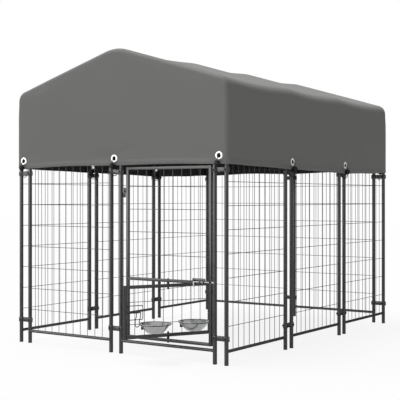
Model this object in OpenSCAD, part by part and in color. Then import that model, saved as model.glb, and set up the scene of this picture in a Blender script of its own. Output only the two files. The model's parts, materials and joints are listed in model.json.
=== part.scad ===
// Outdoor dog kennel run: ten wire panels clamped into a pen two panels wide and three long,
// a hinged door with a turning bowl feeder, and a gabled cloth cover on bent roof tubes.
// Millimetres, +Z up, the ground at Z = 0, the door side towards -Y.

/* [Panels] */
// Distance between the axes of a panel's two posts
panel_pitch = 700; // [690:10:900]
// Outside diameter of the posts
post_d = 25; // [22:0.5:30]
// Wall of the round tubes
tube_wall = 1.4; // [1:0.1:2]
// Diameter of the rails
rail_d = 19; // [16:0.5:22]
// Height of the bottom rails' axes
rail_z = 80; // [60:1:88]
// Drop of the top rails' axes below the tops of the posts
rail_drop = 18; // [14:1:40]
// Diameter of the mesh wires
wire_d = 3.5; // [2.5:0.1:4]
// Upright wires in a panel
wire_count = 10; // [6:1:13]
// Height of the lowest cross wire
row_z = 225; // [180:5:300]
// Spacing of the cross wires
row_pitch = 140; // [90:5:200]

/* [Clamps] */
// Distance between the axes of two posts that are clamped together
joint_gap = 80; // [70:1:110]
// Height of the lower clamps
clamp_low_z = 153; // [130:1:200]
// Height of the upper clamps
clamp_high_z = 1134; // [1080:1:1140]
// Height of a clamp strap
clamp_h = 30; // [20:1:40]
// Thickness of a clamp strap
clamp_t = 3; // [2:0.5:4]
// Length of the lip past each end saddle
clamp_lip = 7; // [4:0.5:10]
// Diameter of the clamp bolts
bolt_d = 6; // [5:0.5:8]
// Diameter of the bolt heads
bolt_head_d = 12; // [10:0.5:14]
// Height of the bolt heads
bolt_head_h = 4.5; // [3:0.5:6]
// Width across the points of the clamp nuts
nut_d = 11.5; // [10:0.5:14]
// Height of the clamp nuts
nut_h = 5; // [4:0.5:7]

/* [Feet and caps] */
// Thickness of the foot under a post
foot_t = 4; // [3:0.5:8]
// Thickness of the cap on a post without a roof tube
cap_t = 3; // [2:0.5:6]
// Length of the plug inside a post
plug_l = 25; // [15:1:40]

/* [Roof frame] */
// Height of the cover at the eaves
eave_z = 1655; // [1600:5:1800]
// Rise of the two roof planes from the eaves to where they would meet
roof_rise = 256; // [180:2:340]
// Bend radius of the eave elbows
elbow_r = 60; // [45:1:80]
// Straight length of an eave elbow above its post
elbow_rise = 15; // [8:1:30]
// Bend radius of the ridge elbows
ridge_r = 150; // [100:5:220]
// Length of a spigot inside a tube
spigot_l = 50; // [30:1:80]

/* [Cover] */
// Thickness of the cloth
cover_t = 2; // [1:0.25:3]
// Distance of the cover's outer face from the post axes
cover_out = 19.5; // [19:0.25:24]
// Height of the hem
hem_z = 1170; // [1168:1:1200]
// Radius of the rounded edges along the eaves, gables and upright corners
edge_r = 20; // [16:0.5:20]
// Extra fall of the cloth over the eaves
eave_fall = 7; // [0:0.5:10]
// Depth that the roof sags between two roof tubes
sag = 20; // [0:1:30]

/* [Ties] */
// Height of the grommets
grommet_z = 1217; // [1212:1:1260]
// Outside diameter of a grommet
grommet_d = 44; // [32:1:48]
// Diameter of the hole in a grommet
grommet_hole = 23; // [16:0.5:26]
// Diameter of the balls
ball_d = 36; // [26:0.5:40]
// Diameter of the elastic cords
cord_d = 5; // [4:0.25:6]
// Distance of a cord's inner leg behind the post axes
cord_in = 12; // [9:0.5:16]
// Distance of the side ties behind the middle of their joints
side_tie_back = 20; // [0:1:20]
// Drop of the side ties below those at the front and back
side_tie_drop = 16; // [0:1:18]

/* [Door] */
// Side of the door's square tubes
door_tube = 18; // [16:0.5:20]
// Wall of the square tubes
square_wall = 1.2; // [1:0.1:1.6]
// Gap between the hinge post and the door
hinge_gap = 34; // [30:0.5:40]
// Gap between the door and the latch post
latch_gap = 8; // [7:0.5:16]
// Height of the door's bottom rail
door_low_z = 112; // [106:1:120]
// Height of the door's middle rail
door_mid_z = 472; // [460:1:500]
// Height of the door's top rail
door_top_z = 1152; // [1100:1:1156]
// Gap between the door and the transom above it
transom_gap = 12; // [8:1:20]
// Upright wires in the door
door_wires = 8; // [5:1:10]
// Height of the door's lowest cross wire
door_row_z = 623; // [580:1:660]
// Spacing of the door's cross wires
door_row_pitch = 139; // [100:1:200]
// Height of the lower hinge
hinge_low_z = 270; // [240:1:320]
// Height of the upper hinge
hinge_high_z = 1003; // [900:1:1040]
// Height of a hinge barrel
hinge_h = 56; // [40:1:70]
// Diameter of a hinge barrel
hinge_d = 13; // [11:0.5:16]
// Diameter of a hinge pin
hinge_pin_d = 6; // [5:0.5:8]

/* [Latch] */
// Diameter of the sliding bolt
latch_rod_d = 8; // [6:0.5:9]
// Height of the sliding bolt
latch_z = 477; // [474:0.5:480]
// Length of the latch plate
latch_plate_l = 92; // [86:1:110]
// Height of the latch plate
latch_plate_h = 36; // [30:1:44]
// Thickness of the latch plate
latch_plate_t = 2.5; // [2:0.5:4]
// Travel of the sliding bolt
latch_travel = 34; // [30:1:36]
// Length of a bolt guide
latch_guide_l = 10; // [8:1:12]
// Outside diameter of the guides and the keeper
latch_guide_d = 15; // [13:0.5:18]
// Length of the keeper
keeper_l = 14; // [10:1:18]
// Length of the bolt's handle
latch_handle_l = 24; // [16:1:32]

/* [Feeder] */
// Side of the feeder's square tubes
feeder_tube = 19; // [16:0.5:20]
// Gap between the feeder and the door's stiles
feeder_gap = 7; // [5:0.5:16]
// Height of the feeder's bottom rail
feeder_low_z = 145; // [142:1:148]
// Height of the feeder's top rail
feeder_top_z = 442; // [420:1:444]
// Turn of the feeder out of the door's plane
feeder_turn = 61; // [45:1:70]
// Upright wires in the feeder
feeder_wires = 8; // [8:2:8]
// Spacing of the feeder's upright wires
feeder_wire_pitch = 62; // [56:1:66]
// Height of the feeder's lower cross wire
feeder_row_low = 221; // [215:1:230]
// Height of the feeder's upper cross wire
feeder_row_high = 353; // [340:1:370]
// Diameter of the pivot bolts
pivot_d = 8; // [6:0.5:10]
// Diameter of the pivot spacers
spacer_d = 15; // [13:0.5:18]

/* [Bowls] */
// Diameter of a bowl over its rim
bowl_d = 198; // [180:1:204]
// Depth of a bowl
bowl_depth = 57; // [45:1:60]
// Radius of a bowl's flat base
bowl_base_r = 42; // [35:1:55]
// Wall of a bowl
bowl_wall = 1; // [0.8:0.1:1.5]
// Width of a bowl's flat rim
bowl_rim = 8; // [6:0.5:10]
// Distance of a bowl's axis from the feeder's plane
bowl_reach = 108; // [104:1:125]
// Distance between the two bowls' axes
bowl_apart = 256; // [215:1:280]
// Shift of the two bowls along the feeder, towards its lock
bowl_shift = 6; // [0:1:10]
// Diameter of the wire of a bowl ring
ring_wire = 6; // [5:0.5:7]
// Width of a bowl bracket
bracket_w = 91; // [70:1:100]
// Height of a bowl bracket
bracket_h = 45; // [36:1:50]

/* [Feeder lock] */
// Diameter of the lock's wire loop
lock_wire = 5; // [4:0.5:6]
// Height of the loop
lock_h = 83; // [70:1:100]
// Reach of the loop from the feeder's stile
lock_reach = 104; // [96:1:108]
// Height of the lock's bolt
lock_z = 290; // [285:1:296]
// Diameter of the lock's bolt
lock_rod_d = 6; // [5:0.5:7]
// Travel of the lock's bolt
lock_travel = 30; // [28:1:32]
// Length of the lock's hanging handle
lock_handle_l = 84; // [60:1:88]
// Outside diameter of the lock's guide and keeper
lock_guide_d = 11; // [10:0.5:12]

/* [Hidden] */
front_panels = 2;
side_panels = 3;
cut = 1;
// Gap left at every weld, between a wire and a rail or a rail and a post
weld_gap = 0.1;
// Gap between two pieces that seat on each other
seat_gap = 0.15;
// How far one stretch of a bent rod runs inside the next, and how much slimmer it is there
tuck = 0.5;
tuck_in = 0.04;
// Gap between pieces that pass each other
pass_gap = 0.3;
// Gap between the cover and the roof tubes under it
cloth_gap = 0.6;
// Radial clearance of a pin that turns or slides in a bore
run_fit = 0.05;
// Radial clearance of a bolt in its hole
bolt_fit = 0.25;

charcoal = "#3e4043";
black = "#1b1b1c";
steel = "#c8cbcd";
cloth = "#737371";
round_fn = 48;
small_fn = 24;

post_r = post_d / 2;
post_bore = post_d - 2 * tube_wall;
plug_d = post_bore - 2 * seat_gap;
run_w = front_panels * panel_pitch + (front_panels + 1) * joint_gap;
run_l = side_panels * panel_pitch + (side_panels - 1) * joint_gap;
panel_step = panel_pitch + joint_gap;
clamp_levels = [clamp_low_z, clamp_high_z];

// Every joint between two posts: its middle and the way its outer side faces, turned from -Y
joints = concat(
    [for (i = [0:front_panels]) [joint_gap / 2 - run_w / 2 + i * panel_step, 0, 0]],
    [for (i = [0:front_panels]) [joint_gap / 2 - run_w / 2 + i * panel_step, run_l, 180]],
    [for (s = [-1, 1], j = [1:side_panels - 1]) [s * run_w / 2, j * panel_step - joint_gap / 2, s * 90]]
);

// Roof planes: the cover's outer face, the roof tubes' axes below it and the round crown
cover_half = run_w / 2 + cover_out;
cover_front = -cover_out;
cover_back = run_l + cover_out;
roof_angle = atan(roof_rise / cover_half);
rafter_depth = cover_t + cloth_gap + post_r;
rafter_z0 = eave_z + cover_out * tan(roof_angle) - rafter_depth / cos(roof_angle);
rafter_zm = rafter_z0 + run_w / 2 * tan(roof_angle);
elbow_turn = 90 - roof_angle;
elbow_t = elbow_r * tan(elbow_turn / 2);
elbow_z = rafter_z0 - elbow_t;
post_h = elbow_z - elbow_rise;
ridge_t = ridge_r * tan(roof_angle);
plug_root = 4;
rafter_l = run_w / 2 / cos(roof_angle) - elbow_t - ridge_t;
crown_z = rafter_zm - ridge_r / cos(roof_angle);
crown_r = ridge_r + rafter_depth;
crown_x = crown_r * sin(roof_angle);
bow_y = [0, panel_step, 2 * panel_step - joint_gap, run_l];

// Posts that carry no roof tube
capped_posts = concat(
    [for (y = [0, run_l], i = [0:front_panels - 1], e = [0, 1])
        [joint_gap - run_w / 2 + i * panel_step + e * panel_pitch, y]],
    [for (s = [-1, 1], y = [panel_pitch, 2 * panel_step]) [s * run_w / 2, y]]
);

// Clamp section
saddle_in = post_r + seat_gap;
saddle_out = saddle_in + clamp_t;
clamp_split = 0.5;
web_out = clamp_split + clamp_t;
// A lip ends short of the door beside it
lip_end = joint_gap / 2 + min(saddle_out + clamp_lip, post_r + latch_gap - 2 * pass_gap);
bolt_hole = bolt_d + 2 * bolt_fit;
bolt_tail = 3;

// Ties
tie_front = cover_out + pass_gap + ball_d / 2;
tie_reach = tie_front + ball_d / 2;
tie_mid = (cord_in - tie_front) / 2;
tie_r = (cord_in + tie_front) / 2;
tie_top_z = grommet_z - sqrt(pow(tie_r, 2) - pow(cover_out + tie_mid, 2));
tie_low_z = clamp_high_z - clamp_h / 2
    + sqrt(pow(tie_r - cord_d / 2 - pass_gap, 2) - pow(web_out - tie_mid, 2));
grommet_flange = 1.2;
grommet_wall = 1;
grommet_room = 4;
side_drop = max(0, min(side_tie_drop, grommet_z - grommet_d / 2 - grommet_room - hem_z));

// Every tie: its joint, its shift along the joint and its drop
ties = [for (j = joints) abs(j[2]) == 90 ? [j, sign(j[2]) * side_tie_back, side_drop] : [j, 0, 0]];

// Door
door_x = joint_gap / 2;
latch_x = door_x + panel_pitch;
stile_l = door_x + post_r + hinge_gap + door_tube / 2;
stile_r = latch_x - post_r - latch_gap - door_tube / 2;
pivot_x = (stile_l + stile_r) / 2;
door_half = (stile_r - stile_l) / 2;
hinge_x = door_x + post_r + hinge_gap / 2;
transom_z = door_top_z + door_tube / 2 + transom_gap + rail_d / 2;
hinge_plate = 5;
pin_head_h = 3;

// Latch: the bolt runs in front of the middle rail, in line with the keeper on the latch post
keeper_r = latch_guide_d / 2;
latch_y = -post_r - keeper_r - weld_gap;
latch_plate_y = -door_tube / 2 - latch_plate_t - weld_gap;
latch_rod_tip = latch_x - keeper_l - 13;
latch_guide_end = stile_r - door_tube / 2 - 22;
latch_plate_x = latch_guide_end - latch_plate_l;
latch_guides = [latch_guide_end - 3.6 * latch_guide_l, latch_guide_end - latch_guide_l];
latch_screws_x = [latch_plate_x + 7, (latch_guides[0] + latch_guides[1] + latch_guide_l) / 2];
latch_handle_x = latch_guides[0] - latch_travel - latch_rod_d / 2 - 1.5;
latch_screw_d = 4;
latch_screw_head = 8;
latch_knob_d = 12;

// Feeder
feeder_half = door_half - door_tube / 2 - feeder_gap - feeder_tube / 2;
feeder_in = feeder_half - feeder_tube / 2;
feeder_sweep = feeder_half + feeder_tube / 2;
pivot_levels = [[door_low_z, feeder_low_z], [door_mid_z, feeder_top_z]];
pivot_head_d = 14;
pivot_head_h = 4;
pivot_nut_h = 7;
pivot_tail = 5;

// Bowls stand no farther apart than the feeder's own swing allows
bowl_r = bowl_d / 2;
bowl_spread = min(bowl_apart / 2, sqrt(pow(feeder_sweep - bowl_r, 2) - pow(bowl_reach, 2)) - bowl_shift);
ring_r = bowl_r - bowl_rim / 2 - ring_wire / 4;
mesh_front = wire_d + weld_gap;
bracket_t = 3;
ring_z = feeder_row_low + 9;
bracket_top = ring_z + 2;
bowl_rim_z = ring_z + ring_wire / 2 + pass_gap;
bowl_low_z = bowl_rim_z + bowl_wall - bowl_depth;
arm_w = 8;
arm_h = 5;
arm_spread = 30;

// Feeder lock: a bolt in front of the mesh, guided on the stile and on the wire loop
lock_guide_r = lock_guide_d / 2;
lock_y = -door_tube / 2 - lock_guide_r - weld_gap;
lock_loop_y = -mesh_front - lock_wire / 2 - weld_gap;
lock_loop_x = lock_reach - feeder_in;
lock_bend = 9;
lock_leg_gap = 27;
lock_leg_x = lock_loop_x - 18;
lock_leg_d = 5;

// The middle of the whole part stands at X = 0, Y = 0; in front a bowl or the lock's bolt reaches farthest
bowl_front = (bowl_spread + bowl_shift) * sin(feeder_turn) + bowl_reach * cos(feeder_turn) + bowl_r;
bolt_front = feeder_sweep * sin(feeder_turn) + (lock_rod_d / 2 - lock_y) * cos(feeder_turn);
front_reach = max(bowl_front, bolt_front);
front_y = (front_reach - run_l - tie_reach) / 2;

module in_run() { translate([0, front_y, 0]) children(); }
module at_joint(j) { translate([j[0], j[1], 0]) rotate([0, 0, j[2]]) children(); }
module at_joints() { for (j = joints) at_joint(j) children(); }
module at_ties() { for (t = ties) at_joint(t[0]) translate([t[1], 0, -t[2]]) children(); }
module in_feeder() { in_run() translate([pivot_x, 0, 0]) rotate([0, 0, feeder_turn]) children(); }

module rod_z(d, low, high, fn = small_fn) {
    translate([0, 0, low]) cylinder(d = d, h = high - low, $fn = fn);
}
module rod_x(d, low, high, fn = small_fn) { rotate([90, 0, 90]) rod_z(d, low, high, fn); }
module rod_y(d, low, high, fn = small_fn) { rotate([-90, 0, 0]) rod_z(d, low, high, fn); }

module tube_z(d, bore, low, high) {
    difference() {
        rod_z(d, low, high, round_fn);
        rod_z(bore, low - cut, high + cut, round_fn);
    }
}

module square_tube(side, low, high) {
    hole = side - 2 * square_wall;
    difference() {
        translate([-side / 2, -side / 2, low]) cube([side, side, high - low]);
        translate([-hole / 2, -hole / 2, low - cut]) cube([hole, hole, high - low + 2 * cut]);
    }
}
module square_tube_x(side, low, high) { rotate([90, 0, 90]) square_tube(side, low, high); }

// Panels: a panel lies along +X from its first post, and turn is the way its clamp bolts run
module post(turn) {
    difference() {
        tube_z(post_d, post_bore, foot_t, post_h);
        for (z = clamp_levels)
            translate([0, 0, z]) rotate([0, 0, turn]) rod_y(bolt_hole, -post_d, post_d);
    }
}

module rail(z) {
    difference() {
        translate([0, 0, z]) rotate([90, 0, 90])
            tube_z(rail_d, rail_d - 2 * tube_wall, 0, panel_pitch);
        for (x = [0, panel_pitch])
            translate([x, 0, 0]) rod_z(post_d + 2 * weld_gap, z - rail_d, z + rail_d, round_fn);
    }
}

module mesh(low, high, first_row) {
    gap = (panel_pitch - post_d) / (wire_count + 1);
    start = low + rail_d / 2 + weld_gap;
    end = high - rail_d / 2 - weld_gap;
    for (i = [1:wire_count])
        translate([post_r + i * gap, (wire_d + weld_gap) / 2, 0]) rod_z(wire_d, start, end);
    for (z = [first_row:row_pitch:end - wire_d])
        translate([0, -(wire_d + weld_gap) / 2, z])
            rod_x(wire_d, post_r + weld_gap, panel_pitch - post_r - weld_gap);
}

module panel(turn_a, turn_b) {
    top = post_h - rail_drop;
    post(turn_a);
    translate([panel_pitch, 0, 0]) post(turn_b);
    rail(rail_z);
    rail(top);
    mesh(rail_z, top, row_z);
}

module front_row_panel(i, y) {
    color(charcoal) in_run() translate([joint_gap - run_w / 2 + i * panel_step, y, 0]) panel(0, 0);
}

module side_panel(side, j) {
    color(charcoal) in_run() translate([side * run_w / 2, j * panel_step, 0]) rotate([0, 0, 90])
        panel(j == 0 ? 90 : 0, j == side_panels - 1 ? 90 : 0);
}

module door_panel() {
    top = post_h - rail_drop;
    above = row_z + ceil((transom_z + rail_d - row_z) / row_pitch) * row_pitch;
    color(charcoal) in_run() translate([door_x, 0, 0]) {
        post(0);
        translate([panel_pitch, 0, 0]) post(0);
        for (z = [rail_z, transom_z, top]) rail(z);
        mesh(transom_z, top, above);
    }
}

// Clamps: two straps per joint and level, with a bolt and a nut through each post
module clamp_strap() {
    difference() {
        linear_extrude(height = clamp_h, center = true) difference() {
            union() {
                for (s = [-1, 1]) translate([s * joint_gap / 2, 0]) circle(r = saddle_out, $fn = round_fn);
                translate([-lip_end, -web_out]) square([2 * lip_end, clamp_t]);
            }
            for (s = [-1, 1]) translate([s * joint_gap / 2, 0]) circle(r = saddle_in, $fn = round_fn);
            translate([-lip_end - cut, -clamp_split]) square([2 * (lip_end + cut), 2 * saddle_out]);
        }
        for (s = [-1, 1])
            translate([s * joint_gap / 2, 0, 0]) rod_y(bolt_hole, -2 * saddle_out, 0);
    }
}

module at_clamps() { in_run() at_joints() for (z = clamp_levels) translate([0, 0, z]) children(); }
module at_bolts() { at_clamps() for (s = [-1, 1]) translate([s * joint_gap / 2, 0, 0]) children(); }

module clamp_outer_straps() { color(charcoal) at_clamps() clamp_strap(); }
module clamp_inner_straps() { color(charcoal) at_clamps() rotate([0, 0, 180]) clamp_strap(); }

module clamp_bolts() {
    color(black) at_bolts() {
        rod_y(bolt_head_d, -saddle_out - seat_gap - bolt_head_h, -saddle_out - seat_gap);
        rod_y(bolt_d, -saddle_out - seat_gap, saddle_out + seat_gap + nut_h + bolt_tail);
    }
}

module clamp_nuts() {
    color(black) at_bolts() difference() {
        rod_y(nut_d, saddle_out + seat_gap, saddle_out + seat_gap + nut_h, 6);
        rod_y(bolt_d + 2 * run_fit, saddle_out, saddle_out + nut_h + cut);
    }
}

// Feet and caps
module at_posts() {
    in_run() {
        for (y = [0, run_l], i = [0:front_panels - 1], e = [0, 1])
            translate([joint_gap - run_w / 2 + i * panel_step + e * panel_pitch, y, 0]) children();
        for (s = [-1, 1], j = [0:side_panels - 1], e = [0, 1])
            translate([s * run_w / 2, j * panel_step + e * panel_pitch, 0]) children();
    }
}

module foot_caps() {
    color(black) at_posts() {
        rod_z(post_d, 0, foot_t, round_fn);
        rod_z(plug_d, foot_t, foot_t + plug_l, round_fn);
    }
}

module post_caps() {
    color(black) in_run() for (p = capped_posts) translate([p[0], p[1], 0]) {
        rod_z(plug_d, post_h - plug_l, post_h + seat_gap, round_fn);
        rod_z(post_d, post_h + seat_gap, post_h + seat_gap + cap_t, round_fn);
    }
}

// Roof frame: four bows, each of two eave elbows, two rafters and a ridge elbow
module bend(r, start, turn) {
    rotate([90, 0, 0]) rotate([0, 0, start]) rotate_extrude(angle = turn, $fn = round_fn)
        translate([r, 0]) circle(d = post_d, $fn = round_fn);
}

module both_sides() {
    for (m = [0, 1]) mirror([m, 0, 0]) translate([-run_w / 2, 0, 0]) children();
}

// From the top of an eave bend, children run up along the roof slope
module along_rafter() {
    translate([elbow_r * (1 - sin(roof_angle)), 0, elbow_z + elbow_r * cos(roof_angle)])
        rotate([0, elbow_turn, 0]) children();
}

module eave_elbow() {
    rod_z(plug_d, post_h - spigot_l, post_h + seat_gap, round_fn);
    rod_z(post_d - 2 * tuck_in, post_h + seat_gap, elbow_z + tuck, round_fn);
    translate([elbow_r, 0, elbow_z]) bend(elbow_r, 90 + roof_angle, elbow_turn);
    along_rafter() rod_z(plug_d, -plug_root, spigot_l, round_fn);
}

module ridge_elbow() {
    translate([0, 0, crown_z]) {
        bend(ridge_r, 90 - roof_angle, 2 * roof_angle);
        for (m = [0, 1]) mirror([m, 0, 0])
            translate([-ridge_r * sin(roof_angle), 0, ridge_r * cos(roof_angle)])
                rotate([0, -90 - roof_angle, 0]) rod_z(plug_d, -plug_root, spigot_l, round_fn);
    }
}

module rafter_pair(i) {
    color(charcoal) in_run() translate([0, bow_y[i], 0]) both_sides() along_rafter()
        tube_z(post_d, post_bore, seat_gap, rafter_l - seat_gap);
}

module eave_elbows() { color(charcoal) in_run() for (y = bow_y) translate([0, y, 0]) both_sides() eave_elbow(); }
module ridge_elbows() { color(charcoal) in_run() for (y = bow_y) translate([0, y, 0]) ridge_elbow(); }

// Cover: cloth panels sewn at the edges, slack between the bows
edge_steps = 5;
band_steps = 2;
slope_steps = 4;
crown_steps = 4;
bay_steps = 7;
sag_power = 0.7;
seam_gap = 0.3;
eave_band = 55;

function edge_drop(p, r) = r - sqrt(max(0, pow(r, 2) - pow(p * r, 2)));
function edge_in(k, r) = r * (1 - cos(90 * k / edge_steps));
function roof_z(x) = abs(x) < crown_x
    ? crown_z + sqrt(pow(crown_r, 2) - pow(x, 2))
    : eave_z + (cover_half - abs(x)) * tan(roof_angle)
        - eave_fall * pow(max(0, 1 - (cover_half - abs(x)) / eave_band), 2);
function bay(y) = y < bow_y[1] ? 0 : y < bow_y[2] ? 1 : 2;
function bay_share(y) = (y - bow_y[bay(y)] - post_r) / (bow_y[bay(y) + 1] - bow_y[bay(y)] - post_d);
function bay_sag(y) = pow(sin(180 * min(1, max(0, bay_share(y)))), sag_power);
function roof_sag(x, y) = sag * bay_sag(y) * (1 - pow(x / cover_half, 2));

// Offsets from the eave to the ridge and from the front to the back, for a face inset below the outer one
function slope_x(inset) = concat(
    [for (k = [0:edge_steps]) inset - cover_half + edge_in(k, edge_r - inset)],
    [for (k = [1:band_steps]) -cover_half + edge_r + (eave_band - edge_r) * k / band_steps],
    [for (k = [1:slope_steps]) -cover_half + eave_band + (cover_half - eave_band - crown_x) * k / slope_steps],
    [for (k = [1:crown_steps]) -crown_x + (crown_x - seam_gap / 2) * k / crown_steps]
);
function length_y(inset) = concat(
    [for (k = [0:edge_steps]) cover_front + inset + edge_in(k, edge_r - inset)],
    [for (b = [0:2], k = [0:bay_steps])
        bow_y[b] + post_r + (bow_y[b + 1] - bow_y[b] - post_d) * k / bay_steps],
    [for (k = [edge_steps:-1:0]) cover_back - inset - edge_in(k, edge_r - inset)]
);
slope_n = len(slope_x(0));
length_n = len(length_y(0));

// How far a point has gone over the rounded edge, 0 to 1 across it, towards an end and towards a side;
// where both edges meet, the square between them is drawn onto a quarter disc
function over_side(x, inset) = max(0, 1 - (cover_half + x - inset) / (edge_r - inset));
function over_end(y, inset) = max(0, 1 - (min(y - cover_front, cover_back - y) - inset) / (edge_r - inset));
function disc(a, b) = a * sqrt(1 - pow(b, 2) / 2);
function roof_point(x, y, p, q, r, inset) =
    let (px = x - (disc(p, q) - p) * r, py = y + (disc(q, p) - q) * r * (y > run_l / 2 ? 1 : -1))
    [px, py, roof_z(px) - inset / cos(roof_angle) - roof_sag(px, py)
        - edge_drop(norm([disc(p, q), disc(q, p)]), r)];
function roof_points(inset) = [for (x = slope_x(inset), y = length_y(inset))
    roof_point(x, y, over_side(x, inset), over_end(y, inset), edge_r - inset, inset)];
function at(face, i, j) = (face * slope_n + i) * length_n + j;
function pair(a, b, c, d) = [[a, b, c], [a, c, d]];

// A cell is cut from its corner nearest the cover's corner, so that no triangle lies along the rounded rim
function cell(a, b, c, d, far) = far ? pair(b, c, d, a) : pair(a, b, c, d);
function roof_faces(i, j) = concat(
    cell(at(0, i, j), at(0, i, j + 1), at(0, i + 1, j + 1), at(0, i + 1, j), j > length_n / 2),
    cell(at(1, i, j), at(1, i + 1, j), at(1, i + 1, j + 1), at(1, i, j + 1), j > length_n / 2)
);
function end_faces(i) = concat(
    pair(at(0, i, 0), at(0, i + 1, 0), at(1, i + 1, 0), at(1, i, 0)),
    pair(at(0, i + 1, length_n - 1), at(0, i, length_n - 1), at(1, i, length_n - 1), at(1, i + 1, length_n - 1))
);
function side_faces(j) = concat(
    pair(at(0, 0, j + 1), at(0, 0, j), at(1, 0, j), at(1, 0, j + 1)),
    pair(at(0, slope_n - 1, j), at(0, slope_n - 1, j + 1), at(1, slope_n - 1, j + 1), at(1, slope_n - 1, j))
);

module roof_half(side) {
    color(cloth) in_run() mirror([side > 0 ? 1 : 0, 0, 0]) polyhedron(
        points = concat(roof_points(0), roof_points(cover_t)),
        faces = concat(
            [for (i = [0:slope_n - 2], j = [0:length_n - 2]) each roof_faces(i, j)],
            [for (i = [0:slope_n - 2]) each end_faces(i)],
            [for (j = [0:length_n - 2]) each side_faces(j)]
        )
    );
}

// Walls stand on the same rounded outline and end below the roof's edge; the gables turn the corners
gable_x = concat(slope_x(0), [for (i = [slope_n - 1:-1:0]) -slope_x(0)[i]]);
under_roof = concat(
    [[-cover_half - cut, hem_z]],
    [[-cover_half - cut, roof_z(cover_half) - edge_r - seam_gap]],
    [for (x = gable_x) [x, roof_z(x) - edge_r - seam_gap]],
    [[cover_half + cut, roof_z(cover_half) - edge_r - seam_gap]],
    [[cover_half + cut, hem_z]]
);
function corner(x, y, start, r) = [for (k = [0:edge_steps])
    [x + r * cos(start + 90 * k / edge_steps), y + r * sin(start + 90 * k / edge_steps)]];
function wall_plan(inset) =
    let (x = cover_half - edge_r, low = cover_front + edge_r, high = cover_back - edge_r, r = edge_r - inset)
    concat(corner(x, high, 0, r), corner(-x, high, 90, r), corner(-x, low, 180, r), corner(x, low, 270, r));

module cover_wall() {
    intersection() {
        translate([0, 0, hem_z]) linear_extrude(height = eave_z + roof_rise - hem_z) difference() {
            polygon(wall_plan(0));
            polygon(wall_plan(cover_t));
        }
        translate([0, cover_back + cut, 0]) rotate([90, 0, 0])
            linear_extrude(height = cover_back - cover_front + 2 * cut) polygon(under_roof);
    }
}
grommet_barrel = grommet_hole / 2 + grommet_wall;

module grommet_holes() {
    at_ties() translate([0, 0, grommet_z])
        rod_y(2 * (grommet_barrel + seat_gap), -cover_out - cut, -cover_out + cover_t + cut, round_fn);
}

module gable(y) {
    color(cloth) in_run() difference() {
        intersection() {
            cover_wall();
            translate([-cover_half - cut, y, hem_z - cut])
                cube([2 * (cover_half + cut), edge_r + cut, roof_rise + eave_z]);
        }
        grommet_holes();
    }
}

module skirt(x) {
    low = cover_front + edge_r + cut + seam_gap;
    color(cloth) in_run() difference() {
        intersection() {
            cover_wall();
            translate([x, low, hem_z - cut]) cube([edge_r, run_l - 2 * low, roof_rise + eave_z]);
        }
        grommet_holes();
    }
}

// Ties: a grommet in the cover at every joint, and an elastic cord with a ball round the clamp below
module grommets() {
    inner = cover_t + seat_gap;
    color(steel) in_run() at_ties() translate([0, -cover_out, grommet_z]) rotate([-90, 0, 0])
        rotate_extrude($fn = round_fn) polygon([
            [grommet_hole / 2, -seat_gap - grommet_flange],
            [grommet_d / 2, -seat_gap - grommet_flange],
            [grommet_d / 2, -seat_gap],
            [grommet_barrel, -seat_gap],
            [grommet_barrel, inner],
            [grommet_d / 2, inner],
            [grommet_d / 2, inner + grommet_flange],
            [grommet_hole / 2, inner + grommet_flange]
        ]);
}

module tie_balls() {
    color(black) in_run() at_ties() translate([0, -tie_front, hem_z]) difference() {
        sphere(d = ball_d, $fn = round_fn);
        rod_z(cord_d + 2 * seat_gap, -ball_d, ball_d);
    }
}

module tie_cord(top_z) {
    for (y = [-tie_front, cord_in]) translate([0, y, 0])
        rod_z(cord_d - 2 * tuck_in, tie_low_z - tuck, top_z + tuck);
    for (half = [[top_z, 0], [tie_low_z, 180]])
        translate([0, tie_mid, half[0]]) rotate([90, 0, 90]) rotate([0, 0, half[1]])
            rotate_extrude(angle = 180, $fn = round_fn) translate([tie_r, 0]) circle(d = cord_d, $fn = small_fn);
}

module tie_cords() {
    color(black) in_run()
        for (t = ties) at_joint(t[0]) translate([t[1], 0, 0]) tie_cord(tie_top_z - t[2]);
}

// Door
module door_rail(z) {
    inside = door_half - door_tube / 2 - weld_gap;
    translate([pivot_x, 0, z]) square_tube_x(door_tube, -inside, inside);
}

module pivot_bore(z) { translate([pivot_x, 0, z]) rod_z(pivot_d + 2 * run_fit, -door_tube, door_tube); }

module door_frame() {
    color(charcoal) in_run() {
        for (x = [stile_l, stile_r]) translate([x, 0, 0])
            square_tube(door_tube, door_low_z - door_tube / 2, door_top_z + door_tube / 2);
        difference() {
            door_rail(door_low_z);
            pivot_bore(door_low_z);
        }
        difference() {
            door_rail(door_mid_z);
            pivot_bore(door_mid_z);
            for (x = latch_screws_x)
                translate([x, 0, door_mid_z]) rod_y(latch_screw_d + 2 * bolt_fit, -door_tube, 0);
        }
        door_rail(door_top_z);
    }
}

module door_mesh() {
    inside = door_half - door_tube / 2;
    gap = 2 * inside / (door_wires + 1);
    start = door_mid_z + door_tube / 2 + weld_gap;
    end = door_top_z - door_tube / 2 - weld_gap;
    color(charcoal) in_run() translate([pivot_x, 0, 0]) {
        for (i = [1:door_wires])
            translate([-inside + i * gap, (wire_d + weld_gap) / 2, 0]) rod_z(wire_d, start, end);
        for (z = [door_row_z:door_row_pitch:end - wire_d])
            translate([0, -(wire_d + weld_gap) / 2, z]) rod_x(wire_d, weld_gap - inside, inside - weld_gap);
    }
}

// Hinges: the lower knuckle on the post, the upper one on the door, a pin through both
module at_hinges() { in_run() for (z = [hinge_low_z, hinge_high_z]) translate([hinge_x, 0, z]) children(); }

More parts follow.
